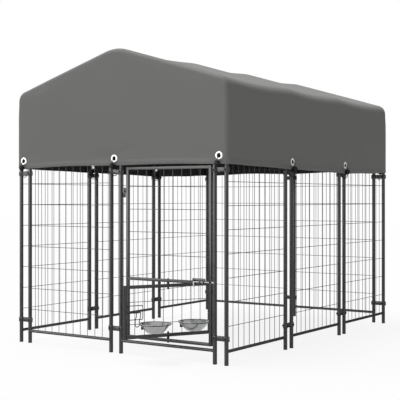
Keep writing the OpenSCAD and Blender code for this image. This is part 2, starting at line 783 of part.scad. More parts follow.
module hinge_post_knuckles() {
    color(charcoal) at_hinges() difference() {
        union() {
            rod_z(hinge_d, -hinge_h / 2, -seat_gap, round_fn);
            translate([door_x - hinge_x, -hinge_plate / 2, -hinge_h / 2])
                cube([hinge_x - door_x, hinge_plate, hinge_h / 2 - seat_gap]);
        }
        rod_z(hinge_pin_d + 2 * run_fit, -hinge_h, hinge_h);
        translate([door_x - hinge_x, 0, 0]) rod_z(post_d + 2 * weld_gap, -hinge_h, hinge_h, round_fn);
    }
}

module hinge_door_knuckles() {
    color(charcoal) at_hinges() difference() {
        union() {
            rod_z(hinge_d, seat_gap, hinge_h / 2, round_fn);
            translate([0, -hinge_plate / 2, seat_gap])
                cube([stile_l - door_tube / 2 - weld_gap - hinge_x, hinge_plate, hinge_h / 2 - seat_gap]);
        }
        rod_z(hinge_pin_d + 2 * run_fit, -hinge_h, hinge_h);
    }
}

module hinge_pins() {
    color(steel) at_hinges() {
        rod_z(hinge_pin_d, -hinge_h / 2 - pin_head_h, hinge_h / 2 + pass_gap);
        rod_z(hinge_d - 2, hinge_h / 2 + pass_gap, hinge_h / 2 + pass_gap + pin_head_h);
    }
}

// Latch
module latch_plate() {
    low_z = latch_z - latch_plate_h / 2 + 2;
    color(charcoal) in_run() difference() {
        union() {
            translate([latch_plate_x, latch_plate_y, low_z]) cube([latch_plate_l, latch_plate_t, latch_plate_h]);
            for (x = latch_guides) translate([x, 0, latch_z]) {
                translate([0, latch_y, 0]) rod_x(latch_guide_d, 0, latch_guide_l);
                translate([0, latch_y, -keeper_r]) cube([latch_guide_l, latch_plate_y - latch_y, latch_guide_d]);
            }
        }
        translate([0, latch_y, latch_z]) rod_x(latch_rod_d + 2 * run_fit, latch_plate_x, latch_x);
        for (x = latch_screws_x)
            translate([x, 0, door_mid_z]) rod_y(latch_screw_d + 2 * bolt_fit, 2 * latch_y, 0);
    }
}

module latch_bolt() {
    color(steel) in_run() translate([0, latch_y, latch_z]) {
        rod_x(latch_rod_d, latch_handle_x, latch_rod_tip);
        translate([latch_handle_x, 0, 0]) {
            sphere(d = latch_rod_d, $fn = small_fn);
            rod_z(latch_rod_d, -latch_handle_l, 0);
            translate([0, 0, -latch_handle_l]) sphere(d = latch_knob_d, $fn = small_fn);
        }
    }
}

module latch_keeper() {
    color(steel) in_run() translate([latch_x - keeper_l / 2, latch_y, latch_z]) difference() {
        rod_x(latch_guide_d, 0, keeper_l);
        rod_x(latch_rod_d + 4 * bolt_fit, -cut, keeper_l + cut);
    }
}

module latch_screws() {
    color(steel) in_run() for (x = latch_screws_x) translate([x, latch_plate_y - seat_gap, door_mid_z]) {
        rod_y(latch_screw_head, -2, 0);
        rod_y(latch_screw_d, 0, latch_plate_t + square_wall + 4);
    }
}

// Feeder
module feeder_frame() {
    color(charcoal) in_feeder() {
        for (s = [-1, 1]) translate([s * feeder_half, 0, 0])
            square_tube(feeder_tube, feeder_low_z - feeder_tube / 2, feeder_top_z + feeder_tube / 2);
        for (z = [feeder_low_z, feeder_top_z]) difference() {
            translate([0, 0, z]) square_tube_x(feeder_tube, weld_gap - feeder_in, feeder_in - weld_gap);
            rod_z(pivot_d + 2 * run_fit, z - feeder_tube, z + feeder_tube);
        }
        // Guide of the lock's bolt on the front of the free stile
        translate([-feeder_half, 0, lock_z]) difference() {
            union() {
                translate([0, lock_y, 0]) rod_x(lock_guide_d, -feeder_tube / 2, feeder_tube / 2);
                translate([-feeder_tube / 2, lock_y, -lock_guide_r])
                    cube([feeder_tube, -lock_y - feeder_tube / 2 - weld_gap, lock_guide_d]);
            }
            translate([0, lock_y, 0]) rod_x(lock_rod_d + 2 * run_fit, -feeder_tube, feeder_tube);
        }
    }
}

module feeder_mesh() {
    start = feeder_low_z + feeder_tube / 2 + weld_gap;
    end = feeder_top_z - feeder_tube / 2 - weld_gap;
    color(charcoal) in_feeder() {
        for (i = [0:feeder_wires - 1])
            translate([(i - (feeder_wires - 1) / 2) * feeder_wire_pitch, (wire_d + weld_gap) / 2, 0])
                rod_z(wire_d, start, end);
        for (z = [feeder_row_low, feeder_row_high])
            translate([0, -(wire_d + weld_gap) / 2, z]) rod_x(wire_d, weld_gap - feeder_in, feeder_in - weld_gap);
    }
}

// Pivot: at both ends a bolt through a door rail, a spacer and a feeder rail, held by a nut;
// drawn for the upper end and turned over for the lower one
function pivot_span(k) = abs(pivot_levels[k][0] - pivot_levels[k][1]);

module pivot_stack(k, piece) {
    span = pivot_span(k);
    over = door_tube / 2 + seat_gap;
    under = span + feeder_tube / 2 + pass_gap;
    if (piece == "bolt") {
        rod_z(pivot_head_d, over, over + pivot_head_h, 6);
        rod_z(pivot_d, -under - pivot_nut_h - pivot_tail, over);
    }
    if (piece == "nut") difference() {
        rod_z(pivot_head_d, -under - pivot_nut_h, -under, 6);
        rod_z(pivot_d + 2 * run_fit, -under - pivot_nut_h - cut, cut - under);
    }
    if (piece == "spacer") difference() {
        rod_z(spacer_d, pass_gap + feeder_tube / 2 - span, -over);
        rod_z(pivot_d + 2 * run_fit, -span, 0);
    }
}

module pivots(piece) {
    color(black) in_run() translate([pivot_x, 0, 0]) {
        translate([0, 0, door_low_z]) rotate([180, 0, 0]) pivot_stack(0, piece);
        translate([0, 0, door_mid_z]) pivot_stack(1, piece);
    }
}

// Bowls: side -1 is the one towards the feeder's free end
module at_bowl(side) { in_feeder() translate([side * bowl_spread - bowl_shift, -bowl_reach, 0]) children(); }

module bowl_bracket(side) {
    front = -mesh_front - weld_gap;
    color(black) in_feeder() translate([side * bowl_spread - bowl_shift, 0, 0]) difference() {
        union() {
            translate([-bracket_w / 2, front - bracket_t, bracket_top - bracket_h])
                cube([bracket_w, bracket_t, bracket_h]);
            for (s = [-1, 1]) translate([s * arm_spread - arm_w / 2, -bowl_reach, ring_z - arm_h / 2])
                cube([arm_w, bowl_reach + front - bracket_t / 2, arm_h]);
        }
        translate([0, -bowl_reach, 0])
            rod_z(2 * (ring_r + ring_wire / 2 + weld_gap), ring_z - arm_h, ring_z + arm_h, round_fn);
    }
}

module bowl_ring(side) {
    color(black) at_bowl(side) translate([0, 0, ring_z]) rotate_extrude($fn = round_fn)
        translate([ring_r, 0]) circle(d = ring_wire, $fn = small_fn);
}

module bowl(side) {
    lip = bowl_rim_z + bowl_wall;
    shoulder = bowl_r - bowl_rim;
    color(steel) at_bowl(side) rotate_extrude($fn = round_fn) polygon([
        [0, bowl_low_z],
        [bowl_base_r, bowl_low_z],
        [shoulder, bowl_rim_z],
        [bowl_r, bowl_rim_z],
        [bowl_r, lip],
        [shoulder - bowl_wall, lip],
        [bowl_base_r - bowl_wall, bowl_low_z + bowl_wall],
        [0, bowl_low_z + bowl_wall]
    ]);
}

// Feeder lock
module loop_bend(x, z, start) {
    translate([x, 0, z]) rotate([90, 0, 0]) rotate([0, 0, start]) rotate_extrude(angle = 90, $fn = round_fn)
        translate([lock_bend, 0]) circle(d = lock_wire, $fn = small_fn);
}

module lock_loop() {
    root_x = weld_gap - feeder_in;
    bend_x = lock_loop_x - lock_bend;
    top = lock_h / 2;
    color(charcoal) in_feeder() translate([0, lock_loop_y, lock_z]) {
        for (z = [-top, top]) translate([0, 0, z]) rod_x(lock_wire, root_x, bend_x);
        translate([lock_loop_x, 0, 0]) rod_z(lock_wire, lock_bend - top, top - lock_bend);
        loop_bend(bend_x, top - lock_bend, 0);
        loop_bend(bend_x, lock_bend - top, -90);
    }
}

module lock_bolt() {
    tip = -feeder_half - feeder_tube / 2;
    drop = lock_handle_l - lock_leg_gap / 2;
    color(black) in_feeder() translate([0, lock_y, lock_z]) {
        rod_x(lock_rod_d, tip, lock_leg_x + lock_leg_d / 2);
        for (x = [lock_leg_x, lock_leg_x - lock_leg_gap]) translate([x, 0, 0]) rod_z(lock_leg_d, -drop, 0);
        translate([lock_leg_x - lock_leg_gap / 2, 0, -drop]) rotate([90, 180, 0])
            rotate_extrude(angle = 180, $fn = round_fn)
                translate([lock_leg_gap / 2, 0]) circle(d = lock_leg_d, $fn = small_fn);
    }
}

module lock_keeper() {
    color(charcoal) in_run() translate([stile_l - door_tube / 2, lock_y, lock_z]) difference() {
        rod_x(lock_guide_d, 0, door_tube);
        rod_x(lock_rod_d + 4 * bolt_fit, -cut, door_tube + cut);
    }
}

front_row_panel(0, 0);  // front_left_panel
door_panel();
front_row_panel(0, run_l);  // back_left_panel
front_row_panel(1, run_l);  // back_right_panel
side_panel(-1, 0);  // left_front_panel
side_panel(-1, 1);  // left_middle_panel
side_panel(-1, 2);  // left_back_panel
side_panel(1, 0);  // right_front_panel
side_panel(1, 1);  // right_middle_panel
side_panel(1, 2);  // right_back_panel
clamp_outer_straps();
clamp_inner_straps();
clamp_bolts();
clamp_nuts();
foot_caps();
post_caps();
rafter_pair(0);  // front_rafters
rafter_pair(1);  // second_rafters
rafter_pair(2);  // third_rafters
rafter_pair(3);  // back_rafters
eave_elbows();
ridge_elbows();
roof_half(-1);  // cover_roof_left
roof_half(1);  // cover_roof_right
gable(cover_front - cut);  // cover_front_gable
gable(cover_back - edge_r);  // cover_back_gable
skirt(-cover_half - cut);  // cover_left_skirt
skirt(cover_half - edge_r + cut);  // cover_right_skirt
grommets();
tie_balls();
tie_cords();
door_frame();
door_mesh();
hinge_post_knuckles();
hinge_door_knuckles();
hinge_pins();
latch_plate();
latch_bolt();
latch_keeper();
latch_screws();
feeder_frame();
feeder_mesh();
pivots("bolt");  // pivot_bolts
pivots("nut");  // pivot_nuts
pivots("spacer");  // pivot_spacers
bowl_bracket(-1);  // bowl_bracket_left
bowl_bracket(1);  // bowl_bracket_right
bowl_ring(-1);  // bowl_ring_left
bowl_ring(1);  // bowl_ring_right
bowl(-1);  // bowl_left
bowl(1);  // bowl_right
lock_loop();
lock_bolt();
lock_keeper();
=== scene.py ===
"""Dresses the outdoor dog kennel run: cover, ties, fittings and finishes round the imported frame."""

import functools
import json
import math

import bpy
import numpy as np
from mathutils import Matrix, Vector


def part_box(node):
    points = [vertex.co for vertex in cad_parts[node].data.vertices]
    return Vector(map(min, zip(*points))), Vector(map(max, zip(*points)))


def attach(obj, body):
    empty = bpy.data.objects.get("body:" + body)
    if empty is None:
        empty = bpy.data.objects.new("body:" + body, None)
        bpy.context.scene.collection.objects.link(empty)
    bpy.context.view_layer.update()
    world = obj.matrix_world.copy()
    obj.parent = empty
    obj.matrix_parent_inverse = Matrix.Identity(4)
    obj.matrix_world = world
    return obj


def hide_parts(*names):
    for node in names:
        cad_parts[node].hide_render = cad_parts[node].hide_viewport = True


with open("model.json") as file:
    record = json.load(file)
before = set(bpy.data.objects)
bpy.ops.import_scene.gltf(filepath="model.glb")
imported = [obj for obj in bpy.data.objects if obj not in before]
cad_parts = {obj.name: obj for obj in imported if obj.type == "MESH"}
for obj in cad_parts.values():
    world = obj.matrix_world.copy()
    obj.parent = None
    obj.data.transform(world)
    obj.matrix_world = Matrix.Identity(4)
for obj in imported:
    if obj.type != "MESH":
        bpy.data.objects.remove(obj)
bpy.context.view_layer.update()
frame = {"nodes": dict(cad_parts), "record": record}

bl_info = {
    "name": "Outdoor dog kennel run",
    "version": (1, 0, 0),
    "blender": (4, 5, 0),
    "location": "View3D > Sidebar > Kennel",
    "description": "Dresses the packed kennel run with its cover, ties, fittings and finishes",
    "category": "Object",
}

MM = 0.001


def middle(name, axis):
    """Middle of a CAD node's box along one axis."""
    low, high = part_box(name)
    return (low[axis] + high[axis]) / 2


# Places that the CAD frame gives
POST_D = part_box("left_front_panel")[1].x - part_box("left_front_panel")[0].x
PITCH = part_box("front_left_panel")[1].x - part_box("front_left_panel")[0].x - POST_D
FRONT = middle("front_left_panel", 1)
BACK = middle("back_left_panel", 1)
SIDE = middle("right_front_panel", 0)
GAP = SIDE - (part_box("door_panel")[1].x - POST_D / 2)
STEP = PITCH + GAP
BOWS = [middle(n, 1) for n in ("front_rafters", "second_rafters", "third_rafters", "back_rafters")]
COVER_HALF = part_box("cover_front_gable")[1].x
COVER_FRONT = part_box("cover_front_gable")[0].y
COVER_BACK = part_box("cover_back_gable")[1].y
COVER_OUT = FRONT - COVER_FRONT
HEM_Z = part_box("cover_front_gable")[0].z
RIDGE_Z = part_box("cover_roof_left")[1].z
STRAP_HALF = 0.015
CLAMP_LOW_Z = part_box("clamp_outer_straps")[0].z + STRAP_HALF
CLAMP_HIGH_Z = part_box("clamp_outer_straps")[1].z - STRAP_HALF

# Joints between posts: middle, and the turn that brings the outer side round from -Y
JOINTS = [(-SIDE + GAP / 2 + i * STEP, FRONT, 0.0) for i in range(3)]
JOINTS += [(-SIDE + GAP / 2 + i * STEP, BACK, math.pi) for i in range(3)]
JOINTS += [
    (s * SIDE, FRONT + j * STEP - GAP / 2, s * math.pi / 2) for s in (-1, 1) for j in (1, 2)
]

# Feeder: its pivot and its turn out of the door's plane
PIVOT, TURN = next(
    (j["pos_m"], -math.radians(j["range_deg"][0]))
    for j in frame["record"]["behaviour"]["joints"]
    if j["name"] == "feeder_pivot"
)

# Posts: eight in the front and back rows, twelve along the sides
POSTS = [
    (-SIDE + GAP + i * STEP + e * PITCH, y) for y in (FRONT, BACK) for i in (0, 1) for e in (0, 1)
]
POSTS += [
    (s * SIDE, FRONT + j * STEP + e * PITCH) for s in (-1, 1) for j in (0, 1, 2) for e in (0, 1)
]


def metres(name, description, default):
    """A length that a user can change."""
    return bpy.props.FloatProperty(
        name=name, description=description, default=default, unit="LENGTH"
    )


def tint(name, description, default):
    """A colour that a user can change."""
    return bpy.props.FloatVectorProperty(
        name=name, description=description, default=default, subtype="COLOR"
    )


class KennelSizes(bpy.types.PropertyGroup):
    """Sizes of the pieces that are modelled round the frame."""

    eave_z: metres("Eave height", "Height of the roof planes over the side walls", 1.668)
    roof_rise: metres("Roof rise", "Rise of the roof planes to where they would meet", 0.25)
    crown_r: metres("Ridge radius", "Radius of the cloth over the ridge", 0.29)
    eave_r: metres("Eave radius", "Radius of the cloth over the eaves", 0.07)
    gable_r: metres("Gable radius", "Radius of the cloth round the gables' edges", 0.024)
    sag: metres("Sag", "Depth that the roof sags between two roof tubes", 0.016)
    cloth_t: metres("Cloth thickness", "Thickness of the coated cloth", 0.0012)
    hem_band: metres("Hem band", "Height of the folded hem", 0.028)
    stitch: metres("Stitch length", "Length from one stitch to the next", 0.007)
    cord_d: metres("Cord diameter", "Diameter of the elastic cords", 0.005)
    side_tie_back: metres("Side tie shift", "Distance of the side ties behind their joints", 0.02)
    ball_d: metres("Ball diameter", "Diameter of the balls on the ties", 0.036)
    grommet_d: metres("Grommet diameter", "Outside diameter of a grommet", 0.049)
    grommet_z: metres("Grommet height", "Height of the grommets at the corners", 1.217)
    grommet_hole: metres("Grommet hole", "Diameter of the hole in a grommet", 0.027)
    bowl_d: metres("Bowl diameter", "Diameter of a bowl over its rim", 0.198)
    handle_d: metres("Lock handle wire", "Diameter of the lock handle's wire", 0.005)
    rail_d: metres("Rail diameter", "Diameter of the panels' rails", 0.019)


class KennelColours(bpy.types.PropertyGroup):
    """Colours of the finishes, in linear light."""

    cloth: tint("Cloth", "Grey of the coated cloth", (0.172, 0.172, 0.168))
    # Partly painted shade: the lining is kept dark so that the inside of the cover reads as shaded.
    lining_and_shade: tint("Lining", "Dark coating inside the cloth", (0.022, 0.022, 0.023))
    coat: tint("Powder coat", "Charcoal of the tubes and wires", (0.022, 0.0224, 0.0231))
    black: tint("Black", "Black of the plastic and the elastic", (0.008, 0.008, 0.0085))
    zinc: tint("Zinc", "Colour of the plated steel", (0.36, 0.363, 0.367))
    bowl: tint("Bowl steel", "Colour of the pressed bowls", (0.36, 0.363, 0.366))
    plating: tint("Grommet plating", "Colour of the grommets", (0.6, 0.6, 0.59))
    floor: tint("Floor", "Colour of the studio floor", (0.5, 0.5, 0.5))


def sizes():
    """The sizes that are set for this scene."""
    return bpy.context.scene.kennel_sizes


def colours():
    """The colours that are set for this scene."""
    return bpy.context.scene.kennel_colours


# Modelling helpers


def start_clean():
    """Leaves edit mode and deselects all, because an operator acts on what is selected."""
    if bpy.context.object and bpy.context.object.mode != "OBJECT":
        bpy.ops.object.mode_set(mode="OBJECT")
    bpy.ops.object.select_all(action="DESELECT")


def pick(ob):
    """Makes one object the selected and active one."""
    start_clean()
    ob.select_set(True)
    bpy.context.view_layer.objects.active = ob


def new_object(name, data):
    """An object in the scene for a mesh, a lamp or a camera."""
    ob = bpy.data.objects.new(name, data)
    bpy.context.scene.collection.objects.link(ob)
    return ob


def modifier(ob, name, kind, **values):
    """Adds a modifier with its settings."""
    made = ob.modifiers.new(name, kind)
    for key, value in values.items():
        setattr(made, key, value)


def mesh_object(name, points, faces, uvs=None):
    """A mesh object at the origin, with one UV pair per face corner if given."""
    mesh = bpy.data.meshes.new(name)
    mesh.from_pydata([tuple(p) for p in points], [], [tuple(f) for f in faces])
    if uvs is not None:
        layer = mesh.uv_layers.new(name="cloth")
        layer.data.foreach_set("uv", np.asarray(uvs, np.float32).ravel())
    return new_object(name, mesh)


def turned(name, rings, segments=48, floor=True, roof=False):
    """A piece turned about Z: a circle is extruded from ring to ring.

    Each ring is a radius and a height in millimetres.
    """
    start_clean()
    radius, height = rings[0]
    bpy.ops.mesh.primitive_circle_add(
        vertices=segments,
        radius=radius * MM,
        fill_type="NGON" if floor else "NOTHING",
        location=(0, 0, height * MM),
    )
    ob = bpy.context.object
    ob.name = name
    bpy.ops.object.transform_apply(location=True, rotation=True, scale=True)
    bpy.ops.object.mode_set(mode="EDIT")
    bpy.ops.mesh.select_mode(type="EDGE")
    bpy.ops.mesh.select_all(action="SELECT")
    for (r0, z0), (r1, z1) in zip(rings, rings[1:]):
        rise = (0, 0, (z1 - z0) * MM)
        bpy.ops.mesh.extrude_edges_move(TRANSFORM_OT_translate={"value": rise})
        if abs(r1 - r0) > 1e-9:
            grow = (r1 / r0, r1 / r0, 1)
            bpy.ops.transform.resize(value=grow, center_override=(0, 0, z1 * MM))
    if roof:
        bpy.ops.mesh.edge_face_add()
    bpy.ops.mesh.select_all(action="SELECT")
    bpy.ops.mesh.remove_doubles(threshold=1e-6)
    bpy.ops.mesh.normals_make_consistent(inside=False)
    bpy.ops.object.mode_set(mode="OBJECT")
    return ob


def spread(ob, name, places):
    """Copies a modelled piece to each place, each copy with its own mesh, and joins the copies."""
    start_clean()
    copies = []
    for place in places:
        copy = ob.copy()
        copy.data = ob.data.copy()
        copy.data.transform(place)
        bpy.context.scene.collection.objects.link(copy)
        copies.append(copy)
    bpy.data.objects.remove(ob)
    for copy in copies:
        copy.select_set(True)
    bpy.context.view_layer.objects.active = copies[0]
    bpy.ops.object.join()
    made = bpy.context.view_layer.objects.active
    made.name = name
    made.data.name = name
    return made


def smooth(ob, angle=35):
    """Smooth shading, with edges sharper than the angle kept."""
    pick(ob)
    bpy.ops.object.shade_smooth_by_angle(angle=math.radians(angle))


def turned_set(name, rings, segments, places, **ends):
    """A turned piece at each of its places, as one smooth object."""
    made = spread(turned(name, rings, segments, **ends), name, places)
    smooth(made, 40)
    return made


def finish_piece(ob, body, slot, *replaced, material=None):
    """Gives a piece its body and its finish, and hides the CAD nodes that it stands for."""
    ob.data.materials.clear()
    ob.data.materials.append(material or finish_of(slot))
    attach(ob, body)
    if replaced:
        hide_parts(*replaced)
    return ob


# A direction that no path in the scene runs along, to start a tube's rings from
ASKEW = (0.31, 0.27, 0.91)


def run_along(path):
    """Length of a path up to each of its points."""
    return np.concatenate([[0], np.cumsum(np.linalg.norm(np.diff(path, axis=0), axis=1))])


def tube(points, radius, sides, closed=False):
    """Points, faces and UVs of a tube along a path. U runs along it in metres, V once round."""
    points = np.asarray(points, float)
    count = len(points)
    ahead = np.roll(points, -1, 0) - np.roll(points, 1, 0)
    if not closed:
        ahead[0], ahead[-1] = points[1] - points[0], points[-1] - points[-2]
    ahead /= np.linalg.norm(ahead, axis=1)[:, None]
    side = np.cross(ahead[0], ASKEW)
    turn = np.arange(sides)[:, None] * 2 * math.pi / sides
    rings = []
    for k in range(count):
        side = side - ahead[k] * (side @ ahead[k])
        side /= np.linalg.norm(side)
        other = np.cross(ahead[k], side)
        rings.append(points[k] + radius * (np.cos(turn) * side + np.sin(turn) * other))
    run = run_along(np.vstack([points, points[:1]]))
    faces, uvs = [], []
    for k in range(count if closed else count - 1):
        n = (k + 1) % count
        for a in range(sides):
            b = (a + 1) % sides
            faces.append((k * sides + a, k * sides + b, n * sides + b, n * sides + a))
            uvs += [
                (run[k], a / sides), (run[k], (a + 1) / sides),
                (run[k + 1], (a + 1) / sides), (run[k + 1], a / sides),
            ]
    if not closed:
        faces.append(tuple(range(sides - 1, -1, -1)))
        faces.append(tuple((count - 1) * sides + a for a in range(sides)))
        uvs += [(0, 0)] * (2 * sides)
    return np.vstack(rings), faces, uvs


def gather(parts):
    """One set of points, faces and UVs from several."""
    points, faces, uvs, base = [], [], [], 0
    for p, f, u in parts:
        points.append(p)
        faces += [tuple(i + base for i in face) for face in f]
        uvs += u
        base += len(p)
    return np.vstack(points), faces, uvs


# Shader groups: effects that several finishes share


def group(name, inputs, outputs):
    """A new shader group, its inputs and its output node. An input with no default is a vector."""
    tree = bpy.data.node_groups.new(name, "ShaderNodeTree")
    for label, default in inputs.items():
        kind = "NodeSocketVector" if default is None else "NodeSocketFloat"
        socket = tree.interface.new_socket(name=label, in_out="INPUT", socket_type=kind)
        if default is not None:
            socket.default_value = default
    for label in outputs:
        tree.interface.new_socket(name=label, in_out="OUTPUT", socket_type="NodeSocketFloat")
    return tree, tree.nodes.new("NodeGroupInput").outputs, tree.nodes.new("NodeGroupOutput")


def tune(made, **values):
    """Sets a node's properties and inputs by name. An output socket is linked to the input."""
    for key, value in values.items():
        if hasattr(made, key):
            setattr(made, key, value)
            continue
        socket = made.inputs[key.replace("_", " ")]
        if hasattr(value, "is_output"):
            made.id_data.links.new(value, socket)
        else:
            socket.default_value = value


def node(tree, kind, **values):
    """A node with its properties and inputs set by name."""
    made = tree.nodes.new(kind)
    tune(made, **values)
    return made


def maths(tree, operation, a, b=None, c=None):
    """A Math node; each of a, b and c is a number or an output socket."""
    made = tree.nodes.new("ShaderNodeMath")
    made.operation = operation
    for i, value in enumerate((a, b, c)):
        if value is None:
            continue
        if isinstance(value, (int, float)):
            made.inputs[i].default_value = value
        else:
            tree.links.new(value, made.inputs[i])
    return made.outputs[0]


def ramp(tree, value, low, high, start=0.0, end=1.0):
    """Maps a value from one span to another, held at the ends."""
    made = node(tree, "ShaderNodeMapRange", Value=value, From_Min=low, From_Max=high)
    tune(made, To_Min=start, To_Max=end)
    return made.outputs["Result"]


def mixed(tree, factor, a, b):
    """A colour mix; a and b are colours or sockets."""
    made = tree.nodes.new("ShaderNodeMix")
    made.data_type = "RGBA"
    tree.links.new(factor, made.inputs["Factor"])
    for value, socket in ((a, made.inputs["A"]), (b, made.inputs["B"])):
        if hasattr(value, "is_output"):
            tree.links.new(value, socket)
        else:
            socket.default_value = (*value[:3], 1)
    return made.outputs["Result"]


def shade(base, factor):
    """A colour made darker or lighter by a factor."""
    return [c * factor for c in base]


def coat_grain_group():
    """Fine orange peel of a sprayed or moulded skin, with a slow unevenness over it."""
    inputs = {"Vector": None, "Fine": 700.0, "Slow": 14.0}
    tree, into, out = group("Coat grain", inputs, ("Height", "Patch"))
    fine = node(tree, "ShaderNodeTexNoise", Vector=into["Vector"], Scale=into["Fine"])
    tune(fine, Detail=2.0, Roughness=0.5)
    slow = node(tree, "ShaderNodeTexNoise", Vector=into["Vector"], Scale=into["Slow"])
    tune(slow, Detail=3.0, Roughness=0.55)
    patch = ramp(tree, slow.outputs["Fac"], 0.35, 0.65)
    tune(out, Height=fine.outputs["Fac"], Patch=patch)
    return tree


def ground_dust_group():
    """Dust and rain splash that fades out above the ground."""
    inputs = {"Vector": None, "Height": 0.25, "Amount": 0.3}
    tree, into, out = group("Ground dust", inputs, ("Mask",))
    place = node(tree, "ShaderNodeSeparateXYZ", Vector=into["Vector"])
    height = maths(tree, "DIVIDE", place.outputs["Z"], into["Height"])
    low = maths(tree, "SUBTRACT", 1.0, height)
    noise = node(tree, "ShaderNodeTexNoise", Vector=into["Vector"], Scale=55.0)
    tune(noise, Detail=5.0, Roughness=0.65)
    speck = ramp(tree, noise.outputs["Fac"], 0.42, 0.72)
    specks = maths(tree, "MULTIPLY", maths(tree, "MAXIMUM", low, 0.0), speck)
    tune(out, Mask=maths(tree, "MULTIPLY", specks, into["Amount"]))
    return tree


def plain_weave_group():
    """Over and under of a plain weave, from UVs in metres."""
    inputs = {"UV": None, "Threads": 900.0}
    tree, into, out = group("Plain weave", inputs, ("Height", "Tone"))
    place = node(tree, "ShaderNodeSeparateXYZ", Vector=into["UV"])
    turn = maths(tree, "MULTIPLY", into["Threads"], math.pi)
    warp = maths(tree, "SINE", maths(tree, "MULTIPLY", place.outputs["X"], turn))
    weft = maths(tree, "SINE", maths(tree, "MULTIPLY", place.outputs["Y"], turn))
    crossing = maths(tree, "MULTIPLY", warp, weft)
    stretch = node(tree, "ShaderNodeVectorMath", operation="MULTIPLY", Vector=into["UV"])
    stretch.inputs[1].default_value = (30.0, 420.0, 1.0)
    slub = node(tree, "ShaderNodeTexNoise", Vector=stretch.outputs[0], Scale=1.0, Detail=2.0)
    height = maths(tree, "MULTIPLY_ADD", crossing, 0.5, 0.5)
    tune(out, Height=height, Tone=slub.outputs["Fac"])
    return tree


def drawn_lines_group():
    """Fine lines left by drawing, rolling or spinning, along one coordinate."""
    inputs = {"Across": 0.0, "Lines": 2500.0}
    tree, into, out = group("Drawn lines", inputs, ("Height", "Tone"))
    across = maths(tree, "MULTIPLY", into["Across"], into["Lines"])
    fine = node(tree, "ShaderNodeTexNoise", noise_dimensions="1D", W=across)
    tune(fine, Scale=1.0, Detail=3.0, Roughness=0.7)
    tone = ramp(tree, fine.outputs["Fac"], 0.3, 0.7)
    tune(out, Height=fine.outputs["Fac"], Tone=tone)
    return tree


@functools.cache
def shared(key):
    """A shader group, built on first use."""
    makers = {
        "grain": coat_grain_group,
        "dust": ground_dust_group,
        "weave": plain_weave_group,
        "lines": drawn_lines_group,
    }
    return makers[key]()


def use(tree, key, **values):
    """Outputs of a shared group, placed in a material with its own values."""
    return node(tree, "ShaderNodeGroup", node_tree=shared(key), **values).outputs


def new_material(name):
    """A material with its Principled shader, its coordinates and its tree."""
    material = bpy.data.materials.new(name)
    material.use_nodes = True
    tree = material.node_tree
    shader = tree.nodes["Principled BSDF"]
    return material, tree, shader, tree.nodes.new("ShaderNodeTexCoord").outputs


def bump(tree, shader, height, strength, distance):
    """Raises the surface by a height."""
    made = node(tree, "ShaderNodeBump", Strength=strength, Distance=distance, Height=height)
    tune(shader, Normal=made.outputs["Normal"])


WEAVE_THREADS = 700.0
DUST = (0.19, 0.18, 0.165)
DUST_HEIGHT = 0.3
DUST_SHARE = 0.05
BRAID_PITCH = 1900.0
BRAID_STRANDS = 8


def cloth_finish():
    """Coated polyester: fine plain weave, painted shade between threads, faint slubs, slow fading."""
    material, tree, shader, place = new_material("cover cloth")
    base = colours().cloth
    weave = use(tree, "weave", UV=place["UV"], Threads=WEAVE_THREADS)
    grain = use(tree, "grain", Vector=place["Object"], Fine=900.0, Slow=2.2)
    # Painted shade and highlight at thread scale: threads lighter where they ride over, darker in the
    # dips.
    over = ramp(tree, weave["Height"], 0, 1, 0.25, 0.75)
    thread = mixed(tree, over, shade(base, 0.93), shade(base, 1.07))
    thick = ramp(tree, weave["Tone"], 0.35, 0.65, 0.0, 0.10)
    slub = mixed(tree, thick, thread, shade(base, 1.25))
    fading = ramp(tree, grain["Patch"], 0, 1, 0.0, 0.10)
    faded = mixed(tree, fading, slub, shade(base, 1.18))
    rough = ramp(tree, weave["Height"], 0, 1, 0.92, 0.8)
    tune(shader, Base_Color=faded, Roughness=rough)
    tune(shader, Specular_IOR_Level=0.05, Sheen_Weight=0.08, Sheen_Roughness=0.4)
    bump(tree, shader, weave["Height"], strength=0.25, distance=0.0004)
    return material


def lining_and_shade_finish():
    """Dark coating inside the cloth, partly painted shade, with the weave showing through."""
    material, tree, shader, place = new_material("cover lining")
    base = colours().lining_and_shade
    weave = use(tree, "weave", UV=place["UV"], Threads=WEAVE_THREADS)
    grain = use(tree, "grain", Vector=place["Object"], Fine=600.0, Slow=3.0)
    # Painted shade at thread scale: the weave is darker in its dips and lighter where threads ride
    # over.
    thread = mixed(tree, weave["Height"], shade(base, 0.8), shade(base, 1.2))
    wear = ramp(tree, grain["Patch"], 0, 1, 0.0, 0.3)
    worn = mixed(tree, wear, thread, shade(base, 1.5))
    rough = ramp(tree, weave["Height"], 0, 1, 0.8, 0.65)
    tune(shader, Base_Color=worn, Roughness=rough, Specular_IOR_Level=0.15)
    bump(tree, shader, weave["Height"], strength=0.2, distance=0.0003)
    return material


def thread_finish():
    """Sewing thread, a little lighter than the cloth."""
    material, tree, shader, place = new_material("sewing thread")
    base = colours().cloth
    grain = use(tree, "grain", Vector=place["Object"], Fine=2400.0, Slow=60.0)
    tone = mixed(tree, grain["Patch"], shade(base, 0.95), shade(base, 1.3))
    tune(shader, Base_Color=tone, Roughness=0.75)
    bump(tree, shader, grain["Height"], strength=0.3, distance=0.0003)
    return material


